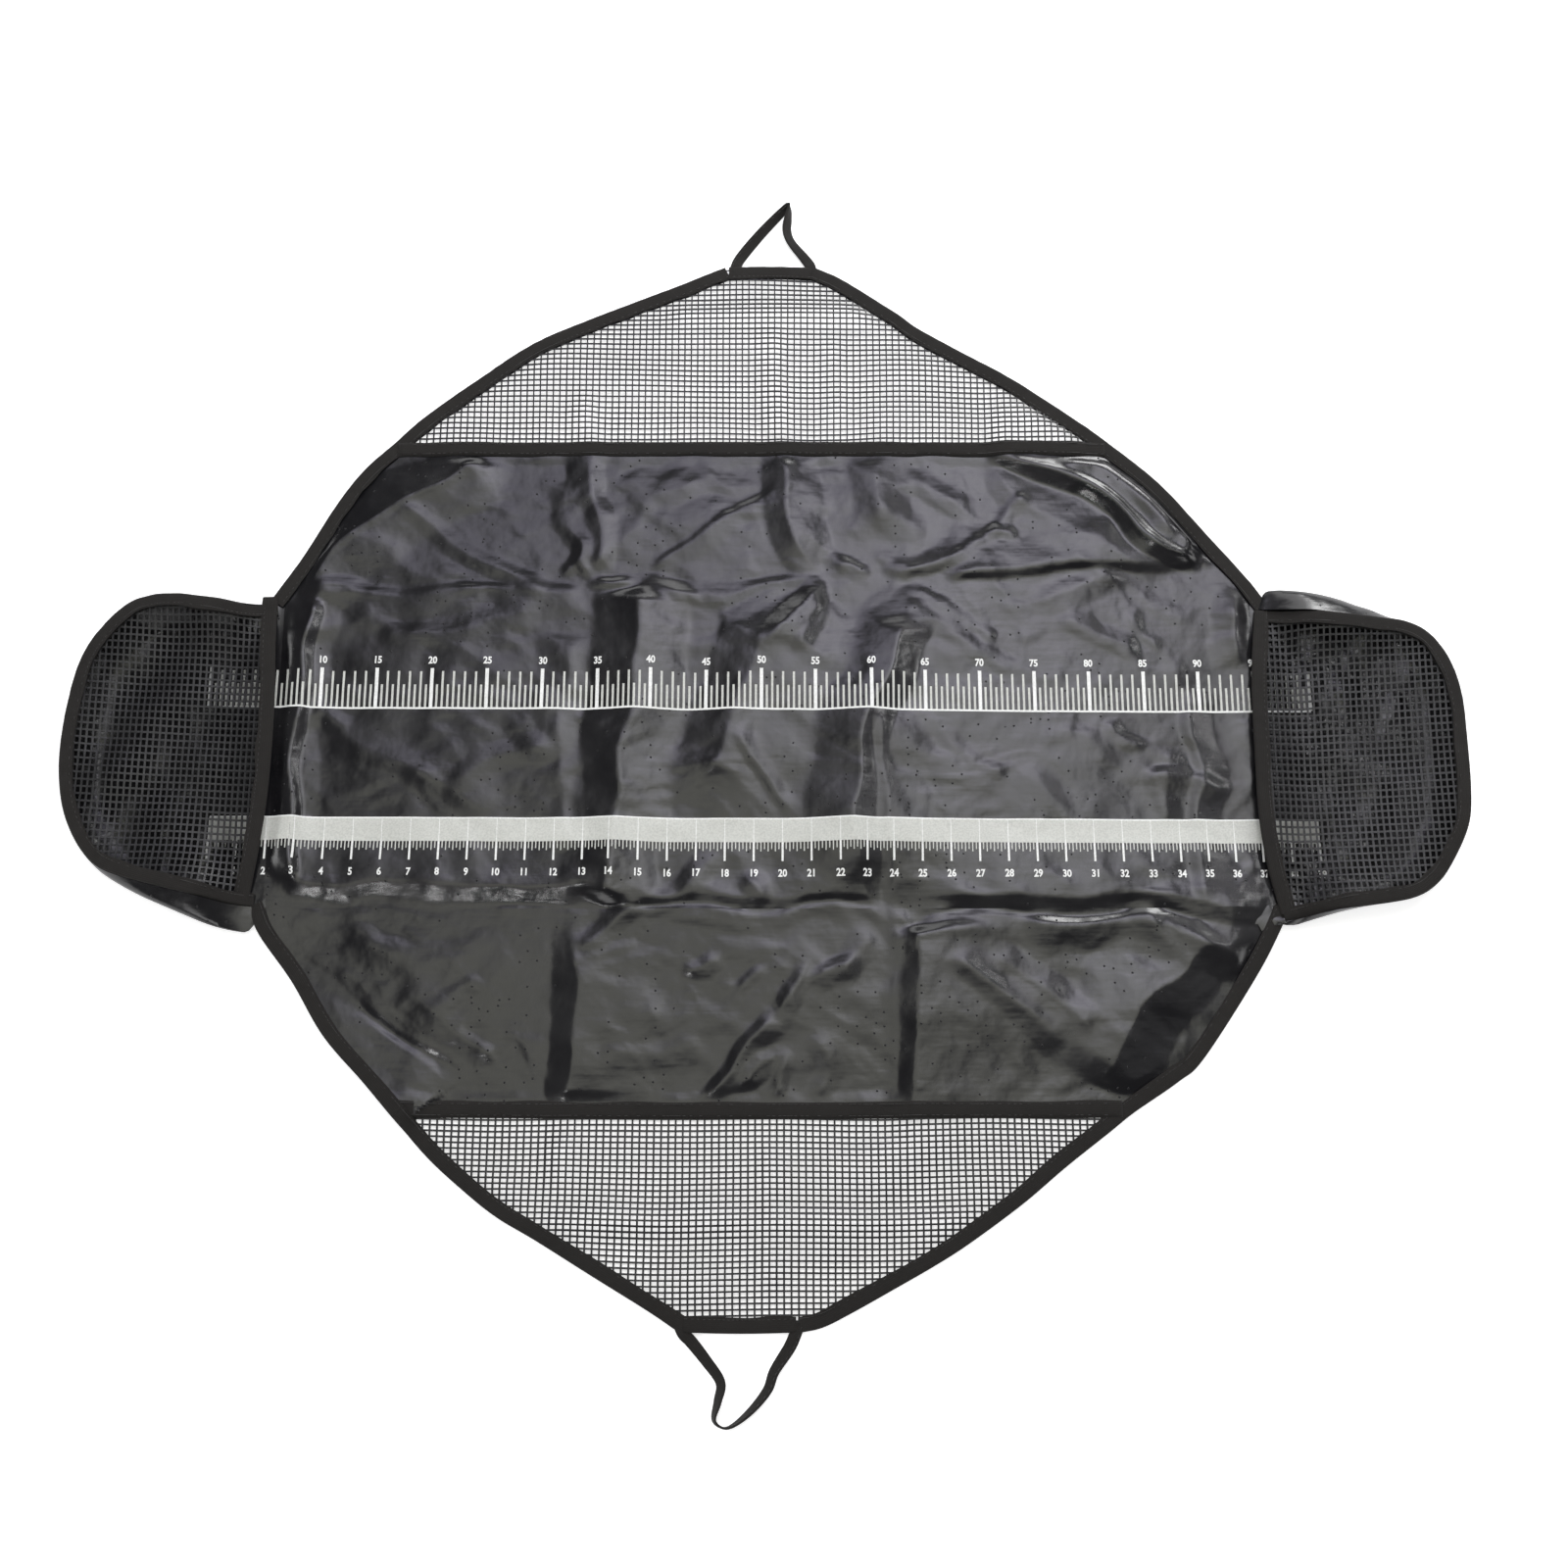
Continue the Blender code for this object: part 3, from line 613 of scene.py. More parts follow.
def piece(name: str, bm: BMesh, slot: Slot, *materials: Material) -> Object:
    """A finished object from a mesh, which is freed.

    Args:
        name: the object's name.
        bm: the mesh, in its place.
        slot: the record's material slot; not used.
        materials: what its faces are made of, in slot order.

    Returns:
        The object, smooth and linked to the scene.
    """
    for face in bm.faces:
        face.smooth = True
    mesh = baked(name, bm)
    for material in materials:
        mesh.materials.append(material)
    thing = linked(name, mesh)
    triangles = sum(len(p.vertices) - 2 for p in mesh.polygons)
    log.info("%s: %d triangles", name, triangles)
    return thing


# Binding tape

STITCH_INSET = 0.0024


@dataclass(frozen=True)
class Binding:
    """Folded tape that closes over a sheet's edge, with its sewing."""

    width: float = CLOTH.tape_width
    thickness: float = CLOTH.tape
    opening: float = 0.0022
    stitch_length: float = 0.0030
    stitch_pitch: float = 0.0042
    thread: float = 0.00045
    puff: float = 0.00022
    sway: float = 0.0006
    floor_gap: float = 0.0006

    def profile(self) -> Array:
        """The fold's outline: in from the edge, and up from the middle of the slot."""
        half = self.opening / 2 + self.thickness
        return np.array([(self.width, half), (self.width * 0.78, half + 0.0001),
                         (self.width * 0.5, half), (self.width * 0.22, half - 0.0001),
                         (0.0014, half - 0.0003), (0.0004, half * 0.62), (0.0, 0.0),
                         (0.0004, -half * 0.62), (0.0014, -half + 0.0003),
                         (self.width * 0.5, -half), (self.width, -half)])

    def flat_profile(self) -> Array:
        """The outline of tape that lies on both faces of a seam, open at neither edge."""
        half = self.opening / 2 + self.thickness
        edge = self.width
        return np.array([(edge, 0.0), (edge - 0.0005, half * 0.8), (edge * 0.75, half),
                         (edge * 0.5, half), (edge * 0.25, half), (0.0005, half * 0.8),
                         (0.0, 0.0), (0.0005, -half * 0.8), (edge * 0.5, -half),
                         (edge - 0.0005, -half * 0.8), (edge, 0.0)])

    def along(self, line: Array, inward: Array, seed: int,
              rows: tuple[float, ...] = (STITCH_INSET,), seam: bool = False) -> BMesh:
        """The tape along an edge.

        Args:
            line: the edge, rows by 3, at the middle of the slot.
            inward: rows by 2, the plan direction from the edge into the sheet.
            seed: the seed of its small waves.
            rows: how far in from the edge its stitching runs.
            seam: whether it lies flat over a seam.

        Returns:
            The tape's mesh, with its thread in the second material slot.
        """
        line = line.copy()
        line[:, 2] = np.maximum(line[:, 2], self.opening / 2 + self.thickness + self.floor_gap)
        way = tangents(line)
        turn = way[:, 0] * inward[:, 1] - way[:, 1] * inward[:, 0]
        if turn.mean() < 0:
            line, inward, way = line[::-1], inward[::-1], -way[::-1]
        into = np.column_stack([inward, np.zeros(len(inward))])
        into -= way * (into * way).sum(1, keepdims=True)
        into /= np.linalg.norm(into, axis=1, keepdims=True)
        up = np.cross(way, into)
        along = travel(line)
        shape = self.flat_profile() if seam else self.profile()
        deep, high = shape.T
        puff = self.puff * waves(*np.broadcast_arrays(along[:, None], 0.4 * deep), seed,
                               (0.008, 0.030), 8)
        sway = self.sway * waves(along, 0 * along, seed + 1, (0.03, 0.09), 6)
        lift = (high + puff * np.sign(high))[..., None]
        across = (deep + sway[:, None] * (deep / self.width))[..., None]
        sheet = grid(line[:, None] + into[:, None] * across + up[:, None] * lift,
                     woven(along, shape))
        bm = tube(sheet) if seam else shell(sheet, self.thickness)
        top = line + up * (self.opening / 2 + self.thickness)
        for row in rows:
            self.sew(bm, top, into, up, self.width - row)
        return bm

    def sew(self, bm: BMesh, line: Array, into: Array, up: Array, inset: float) -> None:
        """Adds a row of stitches to a tape.

        Args:
            bm: the tape's mesh.
            line: the edge at the height of the tape's face.
            into: the direction into the sheet at each point of the line.
            up: the direction out of the tape's face at each point.
            inset: how far in from the edge the row runs.
        """
        row = line + into * inset
        count = int(travel(row)[-1] / self.stitch_pitch)
        if count < 2:
            return
        ready = evenly(np.hstack([row, into, up]), 2 * count + 1)
        template = self.stitch()
        for k in range(count):
            here, ahead = ready[2 * k], ready[2 * k + 1]
            way = Vector(ahead[:3] - here[:3]).normalized()
            out = Vector(here[6:9]).normalized()
            side = out.cross(way).normalized()
            place = Matrix((way, side, out)).transposed().to_4x4()
            place.translation = Vector((here[:3] + ahead[:3]) / 2)
            template.transform(place)
            bm.from_mesh(template)
            template.transform(place.inverted())
        bpy.data.meshes.remove(template)

    def stitch(self) -> bpy.types.Mesh:
        """One stitch: a short thread whose two ends dip into the tape."""
        bm = bmesh.new()
        bmesh.ops.create_cube(bm, size=1.0)
        bmesh.ops.scale(bm, vec=(self.stitch_length, self.thread, self.thread), verts=bm.verts)
        long = [e for e in bm.edges if abs(e.verts[0].co.x - e.verts[1].co.x) > self.thread]
        bmesh.ops.subdivide_edges(bm, edges=long, cuts=2)
        for vert in bm.verts:
            share = abs(vert.co.x) / (self.stitch_length / 2)
            vert.co.z += self.thread * (0.35 - 0.9 * share**2)
            vert.co.y *= 1.0 - 0.3 * share
        for face in bm.faces:
            face.material_index = 1
            face.smooth = True
        return baked("stitch", bm)


# Net


@dataclass(frozen=True)
class Mesh:
    """Coated net with square holes, whose middles are inset from the net's outline."""

    pitch: tuple[float, float] = (0.0062, 0.0054)
    strand: float = 0.0018
    thickness: float = CLOTH.net
    drift: tuple[float, float] = (0.0009, 0.0012)
    hole_inset: float = 0.0045

    def cut(self, outline: Array, seed: int) -> BMesh:
        """A flat piece of net inside an outline.

        Args:
            outline: the outline in plan, going round to the left, not closed.
            seed: the seed of the net's waviness.

        Returns:
            The net's strands at height 0, one face thick, with its holes open.
        """
        low, high = outline.min(0) - self.pitch, outline.max(0) + self.pitch
        columns, rows = np.ceil((high - low) / self.pitch).astype(int)
        xs = low[0] + self.pitch[0] * np.arange(columns + 1)
        ys = low[1] + self.pitch[1] * np.arange(rows + 1)
        px, py = np.meshgrid(xs, ys)
        px = px + self.drift[0] * waves(px, py, seed, (0.16, 0.50), 6)
        py = py + self.drift[1] * waves(px, py, seed + 1, (0.16, 0.50), 6)
        bm = grid(np.stack([px, py, 0 * px], 2))
        mx = (px[1:, 1:] + px[:-1, :-1]) / 2
        my = (py[1:, 1:] + py[:-1, :-1]) / 2
        signed, _, _, _ = to_line(mx, my, np.vstack([outline, outline[:1]]))
        bm.faces.ensure_lookup_table()
        spare = [bm.faces[k] for k in np.flatnonzero(signed.ravel() < self.hole_inset)]
        bmesh.ops.delete(bm, geom=spare, context="FACES")
        cells = bm.faces[:]
        bmesh.ops.inset_individual(bm, faces=cells, thickness=self.strand / 2)
        bmesh.ops.delete(bm, geom=cells, context="FACES_ONLY")
        return bm


def heights(bm: BMesh, level: Callable[..., Array]) -> BMesh:
    """Lays a flat mesh on a surface, where level gives heights from arrays of x and y."""
    place = np.array([v.co for v in bm.verts])
    lifted = place[:, 2] + level(place[:, 0], place[:, 1])
    for vert, z in zip(bm.verts, lifted.tolist()):
        vert.co.z = z
    return bm


# The sheet, the wings and their loops


@dataclass(frozen=True)
class Dress:
    """The materials that the pieces share."""

    pvc: Material
    tape: Material
    net: Material
    ink: Material
    band: Material
    thread: Material


@dataclass(frozen=True)
class WingCut:
    """One wing's outline and how it is joined to its neighbours.

    Its crease, seam and tip are at those y. The sheet ends a lap inside its edge tapes
    and the seam, where the tape holds it raised, and the passed share of its folds
    reaches the net. The tapes across the wing bow out in the middle.
    """

    wing: Wing
    crease: float
    seam: float
    tip: float
    left: Line
    right: Line
    seam_width: float = 0.0145
    end_width: float = 0.0135
    fold_run: float = 0.0200
    net_run: float = 0.0150
    passed: float = 0.88
    seam_lap: float = 0.0030
    edge_lap: float = 0.0012
    held_rise: float = 0.0009
    net_lap: float = 0.016
    net_wave: float = 0.0011
    bow: float = 0.0010

    def edge(self, hand: Hand) -> Array:
        """The taped edge in plan, from the mouth's corner to the tip."""
        return curve(self.left if hand is Hand.LEFT else self.right, 0.003)

    def spans(self, hand: Hand) -> tuple[Array, Array]:
        """The part of an edge beside the sheet, and the part beside the net."""
        line = self.edge(hand)
        cut = int(np.argmin(np.abs(line[:, 1] - self.seam)))
        return line[:cut + 1], line[cut:]

    def x_at(self, hand: Hand, y: Array) -> Array:
        """The edge's x at given y."""
        line = self.edge(hand)
        order = np.argsort(line[:, 1])
        return np.interp(y, line[order, 1], line[order, 0])

    def free_of_tape(self, x: Array, y: Array) -> Array:
        """How free points are of the tapes on the wing's edges, from 0 to 1."""
        return clear(x, y, [self.edge(hand) for hand in Hand], 0.008, 0.014)

    def calm(self, x: Array, y: Array) -> Array:
        """How free the sheet is at points: 0 inside the tapes, 1 away from them."""
        apart = smooth((np.abs(self.seam - y) - 0.011) / 0.012)
        return (self.passed + (1.0 - self.passed) * apart) * self.free_of_tape(x, y)

    def carried(self, x: Array, y: Array) -> Array:
        """How far the sheet's folds still lift the seam and the net by it, in metres."""
        near = 1.0 - smooth(np.abs(y - self.seam) / 0.070)
        folds = RELIEF.folds(x, np.full(np.shape(x), self.seam))
        return self.passed * near * self.free_of_tape(x, y) * folds

    def taped(self, line: Array, rise: float = 0.0) -> Array:
        """An edge in plan lifted to the middle of its tape's slot."""
        level = RELIEF.base(line[:, 0], line[:, 1]) + CLOTH.tape + 0.0004 + rise
        kernel = np.hanning(9) / np.hanning(9).sum()
        level = np.convolve(np.pad(level, 4, mode="edge"), kernel, mode="valid")
        return np.column_stack([line, level])

    def inward(self, line: Array, hand: Hand) -> Array:
        """The plan direction from an edge into the wing."""
        into = lefts(line)
        return into * (-hand.value * np.sign(into[:, :1]))

    def fold(self, thing: Object) -> Object:
        """Bakes the transform of a piece by the fold at the foot of the wing into its mesh."""
        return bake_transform(thing)

    def bend(self, thing: Object) -> Object:
        """Bakes the transform of a piece by the seam of sheet and net into its mesh."""
        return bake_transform(thing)

    def build(self, dress: Dress) -> None:
        """Makes the wing's sheet, net and tapes."""
        self.side(dress)
        self.net(dress)
        self.tapes(dress)

    def side(self, dress: Dress) -> None:
        """Makes the sheet between the fold and the seam."""
        end = self.seam - self.wing.value * self.seam_lap
        low, high = sorted((self.crease, end))
        ys = np.linspace(low, high, round((high - low) / CLOTH.mesh) + 1)
        left = self.x_at(Hand.LEFT, ys) + self.edge_lap
        right = self.x_at(Hand.RIGHT, ys) - self.edge_lap
        columns = round((right.max() - left.min()) / CLOTH.mesh) + 1
        share = np.linspace(0.0, 1.0, columns)[None, :]
        x = left[:, None] * (1 - share) + right[:, None] * share
        y = np.broadcast_to(ys[:, None], x.shape)
        held = 1.0 - smooth((np.abs(y - self.seam) - 0.0130) / 0.0120)
        row = np.linspace(x.min(), x.max(), 500)
        folds = np.interp(x, row, RELIEF.folds(row, np.full(row.shape, self.seam)))
        folds = RELIEF.folds(x, y) * (1.0 - held) + folds * held
        z = RELIEF.base(x, y) + folds * self.calm(x, y) + self.held_rise * held + CLOTH.pvc
        bm = shell(grid(np.stack([x, y, z], 2)), CLOTH.pvc)
        sheet = piece(f"{self.wing.word}_side_sheet", bm, Slot.PVC, dress.pvc)
        self.fold(sheet)
        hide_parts(f"{self.wing.word}_side_panel")

    def net(self, dress: Dress) -> None:
        """Makes the net beyond the seam."""
        lines = {hand: self.spans(hand)[1] for hand in Hand}
        tuck = np.array([0.0, -self.wing.value * self.net_lap])
        left, right = (np.vstack([line[:1] + tuck, line]) for line in lines.values())
        outline = np.vstack([right, left[::-1]])
        mesh = Mesh()
        if self.wing is Wing.FRONT:
            outline, mesh = np.vstack([left, right[::-1]]), Mesh((0.0062, 0.0049), 0.0023)
        bm = mesh.cut(outline, 31 + self.wing.value)

        def level(x: Array, y: Array) -> Array:
            """The net's height over the floor."""
            free = smooth((np.abs(y - self.seam) - 0.006) / 0.02)
            free = free * clear(x, y, list(lines.values()), 0.006, 0.02)
            rough = self.net_wave * (1 + waves(x, y, 41 + self.wing.value, (0.05, 0.16), 10))
            ridge = sum(crease.lift(x, y) for crease in Crease.table(NET_FOLDS[self.wing]))
            return (RELIEF.base(x, y) + self.carried(x, y) + CLOTH.tape + 0.0008
                    + free * (rough + ridge))

        bm = shell(heights(bm, level), CLOTH.net)
        thing = piece(f"{self.wing.word}_net_mesh", bm, Slot.NET, dress.net)
        self.bend(thing)
        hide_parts(f"{self.wing.word}_net")

    def tapes(self, dress: Dress) -> None:
        """Makes the tapes of the wing's edges, its seam and its tip."""
        word = self.wing.word
        binding = Binding()
        for hand in Hand:
            cut = len(self.spans(hand)[0])
            whole = self.edge(hand)
            into, high = self.inward(whole, hand), self.taped(whole)
            for name, rows, bend in (("side", slice(0, cut), self.fold),
                                     ("net", slice(cut - 1, None), self.bend)):
                bm = binding.along(high[rows], into[rows], 50 + cut)
                thing = piece(f"{word}_{name}_binding_{hand.word}", bm, Slot.TAPE,
                              dress.tape, dress.thread)
                bend(thing)
                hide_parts(f"{word}_{name}_tape_{hand.word}")
        self.cross_tape(dress, "seam", self.seam, self.seam_width, f"{word}_side")
        self.cross_tape(dress, "end", self.tip, self.end_width, f"{word}_net_flap")

    def cross_tape(self, dress: Dress, name: str, y: float, width: float, body: str) -> None:
        """Makes a tape that runs across the wing.

        Args:
            dress: the shared materials.
            name: what the tape holds, seam or end.
            y: where its outer edge lies.
            width: how wide it is.
            body: the body that it rides on.
        """
        ends = [float(self.x_at(hand, np.array([y]))[0]) - hand.value * 0.004 for hand in Hand]
        xs = np.linspace(ends[0], ends[1], max(8, round((ends[1] - ends[0]) / 0.004)))
        bow = self.bow * np.sin(np.linspace(0, math.pi, len(xs)))
        line = np.column_stack([xs, y + self.wing.value * bow])
        into = np.column_stack([0 * xs, -self.wing.value + 0 * xs])
        binding = Binding(width=width)
        rows = (STITCH_INSET, width - STITCH_INSET) if name == "seam" else (STITCH_INSET,)
        high = self.taped(line, 0.0006)
        high[:, 2] += self.carried(line[:, 0], line[:, 1]) if name == "seam" else 0.0
        bm = binding.along(high, into, 70 + len(xs), rows, seam=name == "seam")
        thing = piece(f"{self.wing.word}_{name}_binding", bm, Slot.TAPE, dress.tape, dress.thread)
        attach(thing, body)
        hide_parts(f"{self.wing.word}_{name}_tape")


@dataclass(frozen=True)
class CentreSheet:
    """The middle of the sheet, between the mouths of the two pockets."""

    def build(self, dress: Dress) -> BMesh:
        """Makes the middle sheet and returns a copy of its mesh for the print to lie on."""
        width = 2 * CLOTH.mouth_x
        deep = CLOTH.rear_crease - CLOTH.front_crease
        xs = np.linspace(-CLOTH.mouth_x, CLOTH.mouth_x, round(width / CLOTH.mesh) + 1)
        ys = np.linspace(CLOTH.front_crease, CLOTH.rear_crease, round(deep / CLOTH.mesh) + 1)
        x, y = np.meshgrid(xs, ys)
        bm = shell(grid(np.stack([x, y, RELIEF.height(x, y) + CLOTH.pvc], 2)), CLOTH.pvc)
        ground = bm.copy()
        sheet = piece("centre_sheet", bm, Slot.PVC, dress.pvc)
        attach(sheet, "centre")
        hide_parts("centre_panel")
        return ground


@dataclass(frozen=True)
class HookLoop:
    """The carrying loop at a wing's tip: tape that runs out, turns over once and comes back.

    Its path has x and y in metres, and how far the tape has turned in thousands of degrees.
    """

    wing: Wing
    tip: float
    path: Line
    width: float = 0.0105
    thickness: float = 0.0018
    roll_scale: float = 1e-5
    lift: float = 0.0012
    sewn_lift: float = 0.0022
    swing_run: float = 0.013

    def build(self, dress: Dress) -> None:
        """Makes the loop."""
        given = np.array([(x, y, 0.0, 1000.0 * turn) for x, y, turn in self.path])
        given[:, 2] = self.lift + self.width / 2 * np.abs(np.sin(np.radians(given[:, 3])))
        given[(0, 1, -2, -1), 2] += self.sewn_lift
        given[:, 3] *= self.roll_scale
        table = curve(given, 0.0020)
        line, roll = table[:, :3], np.radians(table[:, 3] / self.roll_scale)
        way = tangents(line)
        flat = np.cross(np.array([0.0, 0.0, 1.0]), way)
        flat /= np.linalg.norm(flat, axis=1, keepdims=True)
        up = np.cross(way, flat)
        across = flat * np.cos(roll)[:, None] + up * np.sin(roll)[:, None]
        out = np.cross(way, across)
        half, thick = self.width / 2, self.thickness / 2
        upper = np.array([(1, 0), (0.93, 0.8), (0.5, 1), (0, 0.9), (-0.5, 1), (-0.93, 0.8),
                          (-1, 0)])
        shape = np.vstack([upper, upper[-2::-1] * (1, -1)]) * (half, thick)
        points = (line[:, None] + across[:, None] * shape[:, 0, None]
                  + out[:, None] * shape[:, 1, None])
        points[..., 2] = np.maximum(points[..., 2], 0.0002)
        along = np.linspace(0, travel(line)[-1], len(line))
        bm = tube(grid(points, woven(along, shape)))
        Binding(stitch_pitch=0.0040).sew(bm, line + out * thick, across, out, half - 0.0020)
        word = self.wing.word
        thing = piece(f"{word}_hook_loop_webbing", bm, Slot.TAPE, dress.tape, dress.thread)
        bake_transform(thing)
        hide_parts(f"{word}_loop")


# Pockets


@dataclass(frozen=True)
class Pocket:
    """A net-topped pocket at one end of the sling.

    The rim runs from the rear corner round the far end to the front corner. The bulges
    are how far the sheet bellies out past the rim, at shares of the rim's length.
    """

    hand: Hand
    rim: Line
    mouth: Line
    bulges: Line
    rise: float = 0.0222
    foot_height: float = 0.0075
    rise_run: float = 0.0600
    mouth_height: float = 0.0150
    wall: float = 0.0300
    crumple: float = 1.0
    rough: tuple[float, float] = (0.0016, 0.0012)
    net_sag: float = 0.0045
    net_rough: float = 0.0012
    rim_wave: float = 0.0012
    corner_in: float = 0.030
    corner_out: float = 0.112
    cells: tuple[int, int] = (66, 96)
    middle: float = 0.53

    def rim_line(self) -> Array:
        """The rim tape's outer edge, with the height of its slot's middle."""
        flat = curve(self.rim, 0.003)
        along = np.linspace(0, travel(flat)[-1], len(flat))
        from_end = np.minimum(along, along[-1] - along)
        share = smooth(from_end / self.rise_run)
        wave = waves(along, 0 * along, 61 + self.hand.value, (0.08, 0.22), 6)
        height = self.foot_height + (self.rise + self.rim_wave * wave) * share
        return np.column_stack([flat, height])

    def mouth_line(self) -> Array:
        """The mouth tape's fold, from the rear corner to the front, with its height."""
        flat = curve(self.mouth, 0.003)
        share = np.sin(np.linspace(0, math.pi, len(flat))) ** 0.8
        height = self.foot_height + (self.mouth_height - self.foot_height) * share
        return np.column_stack([flat, height])

    def patch(self) -> tuple[Array, Array]:
        """The floor's points in plan, before its walls rise, and its outline.

        Returns:
            Rows along the pocket's depth by columns across it by 2, and the closed outline
            from the fold's rear end round the rim to its front end.
        """
        sign = self.hand.value
        rear = (sign * CLOTH.mouth_x, CLOTH.rear_crease)
        front = (sign * CLOTH.mouth_x, CLOTH.front_crease)
        rim = np.vstack([rear, self.rim_line()[:, :2], front])
        far = np.abs(rim[:, 0]).max()
        middle = (CLOTH.rear_crease + CLOTH.front_crease) / 2
        corners = []
        for way in (1, -1):
            aim = np.array([sign * (far - self.corner_in), middle + way * self.corner_out])
            corners.append(int(np.argmin(np.linalg.norm(rim - aim, axis=1))))
        deep, wide = self.cells
        back = evenly(rim[:corners[0] + 1], deep)
        end = evenly(rim[corners[0]:corners[1] + 1], wide)
        fore = evenly(rim[corners[1]:][::-1], deep)
        fold = evenly(np.array([rear, front]), wide)
        u, v = np.linspace(0, 1, deep)[:, None, None], np.linspace(0, 1, wide)[None, :, None]
        table = ((1 - v) * back[:, None] + v * fore[:, None] + (1 - u) * fold[None]
                 + u * end[None] - (1 - u) * (1 - v) * back[0] - (1 - u) * v * fore[0]
                 - u * (1 - v) * back[-1] - u * v * fore[-1])
        return table, rim

    def floor_points(self) -> Array:
        """The floor with its walls curled up to the rim, rows by columns by 3."""
        table, outline = self.patch()
        x, y = table[..., 0], table[..., 1]
        signed, along, near_x, near_y = to_line(x, y, outline)
        run = travel(outline)
        away = np.abs(signed)
        out_x, out_y = near_x - x, near_y - y
        size = np.maximum(np.hypot(out_x, out_y), 1e-9)
        normal = lefts(outline)
        centre = np.array([self.hand.value * self.middle, 0.01])
        normal *= np.sign(((outline - centre) * normal).sum(1))[:, None]
        nx, ny = np.interp(along, run, normal[:, 0]), np.interp(along, run, normal[:, 1])
        out_x = np.where(size > 0.001, out_x / size, nx)
        out_y = np.where(size > 0.001, out_y / size, ny)
        climb = np.clip(1 - away / self.wall, 0, 1)
        shares, sizes = zip(*self.bulges)
        bulge = np.interp(along / run[-1], shares, sizes)
        start = smooth((np.abs(x) - CLOTH.mouth_x) / 0.010)
        belly = np.sin(math.pi * climb**1.3) ** 0.9 * bulge * start
        rim = self.rim_line()
        rim_z = np.interp(along, np.linspace(0, run[-1], len(rim)), rim[:, 2]) - 0.0014
        floor = RELIEF.height(x, y)
        calm = 1 - climb
        rough = self.rough[0] * waves(x, y, 81, (0.03, 0.08), 10)
        ridged = waves(x, y, 83, (0.014, 0.04), 12, ridged=True)
        rough = rough + self.rough[1] * ridged
        rough = rough * smooth((np.abs(x) - 0.47) / 0.03)
        rough = rough * (1 + (self.crumple - 1) * smooth((y - 0.01) / 0.06))
        z = floor + rough * calm * smooth(climb / 0.2 + 0.6)
        z = z + (rim_z - floor) * climb**1.6 * start
        points = np.stack([x + out_x * belly, y + out_y * belly, np.maximum(z, 0.0006)], 2)
        for _ in range(4):
            near = points[2:, 1:-1] + points[:-2, 1:-1] + points[1:-1, 2:] + points[1:-1, :-2]
            points[1:-1, 1:-1] += 0.5 * (near / 4 - points[1:-1, 1:-1])
        return points

    def net_level(self, x: Array, y: Array) -> Array:
        """The pocket net's height over the floor at points in plan."""
        rim, mouth = self.rim_line()[::4], self.mouth_line()[::4]
        posts = np.vstack([rim, mouth])
        away = (x[:, None] - posts[:, 0]) ** 2 + (y[:, None] - posts[:, 1]) ** 2 + 1e-6
        weight = away**-1.6
        held = (weight * posts[:, 2]).sum(1) / weight.sum(1)
        free = smooth(np.sqrt(away.min(1)) / 0.045)
        rough = waves(x, y, 91 + self.hand.value, (0.05, 0.15), 10)
        return held - free * (self.net_sag - self.net_rough * rough)

    def bend(self, thing: Object) -> Object:
        """Bakes the transform of a piece by the fold at the pocket's mouth into its mesh."""
        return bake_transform(thing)

    def build(self, dress: Dress) -> BMesh:
        """Makes the pocket and returns a copy of its floor's mesh for the print to lie on."""
        word = self.hand.word
        points = self.floor_points()
        if self.hand is Hand.RIGHT:
            points = points[:, ::-1]
        points = points.swapaxes(0, 1)
        points[..., 2] += CLOTH.pvc
        bm = shell(grid(points), CLOTH.pvc)
        ground = bm.copy()
        floor = piece(f"{word}_pocket_sheet", bm, Slot.PVC, dress.pvc)
        self.bend(floor)
        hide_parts(f"{word}_pocket_floor")
        self.build_net(dress)
        self.build_tapes(dress)
        return ground

    def build_net(self, dress: Dress) -> None:
        """Makes the net over the pocket."""
        word = self.hand.word
        rim, mouth = self.rim_line()[3:-3, :2], self.mouth_line()[4:-4][::-1, :2]
        outline = np.vstack([rim, mouth])
        if self.hand is Hand.RIGHT:
            outline = outline[::-1]
        bm = Mesh((0.0052, 0.0065), 0.0024).cut(outline, 35 + self.hand.value)
        bm = shell(heights(bm, self.net_level), CLOTH.net)
        thing = piece(f"{word}_pocket_mesh", bm, Slot.NET, dress.net)
        self.bend(thing)
        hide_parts(f"{word}_pocket_net")

    def build_tapes(self, dress: Dress) -> None:
        """Makes the tapes of the rim and the mouth."""
        word, sign = self.hand.word, self.hand.value
        for name, binding, line, turn, seed, rise in (
                ("rim", Binding(width=0.0122, opening=0.0028), self.rim_line(), -1, 95, 0.0),
                ("mouth", Binding(), self.mouth_line(), 1, 97, 0.0008)):
            into = lefts(line[:, :2]) * (sign * turn)
            bm = binding.along(line + (0.0, 0.0, rise), into, seed + sign)
            tape = piece(f"{word}_pocket_{name}_binding", bm, Slot.TAPE, dress.tape, dress.thread)
            self.bend(tape)
            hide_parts(f"{word}_pocket_{name}_tape")


# Printed rulers

PRINT_INSET = 1e-5


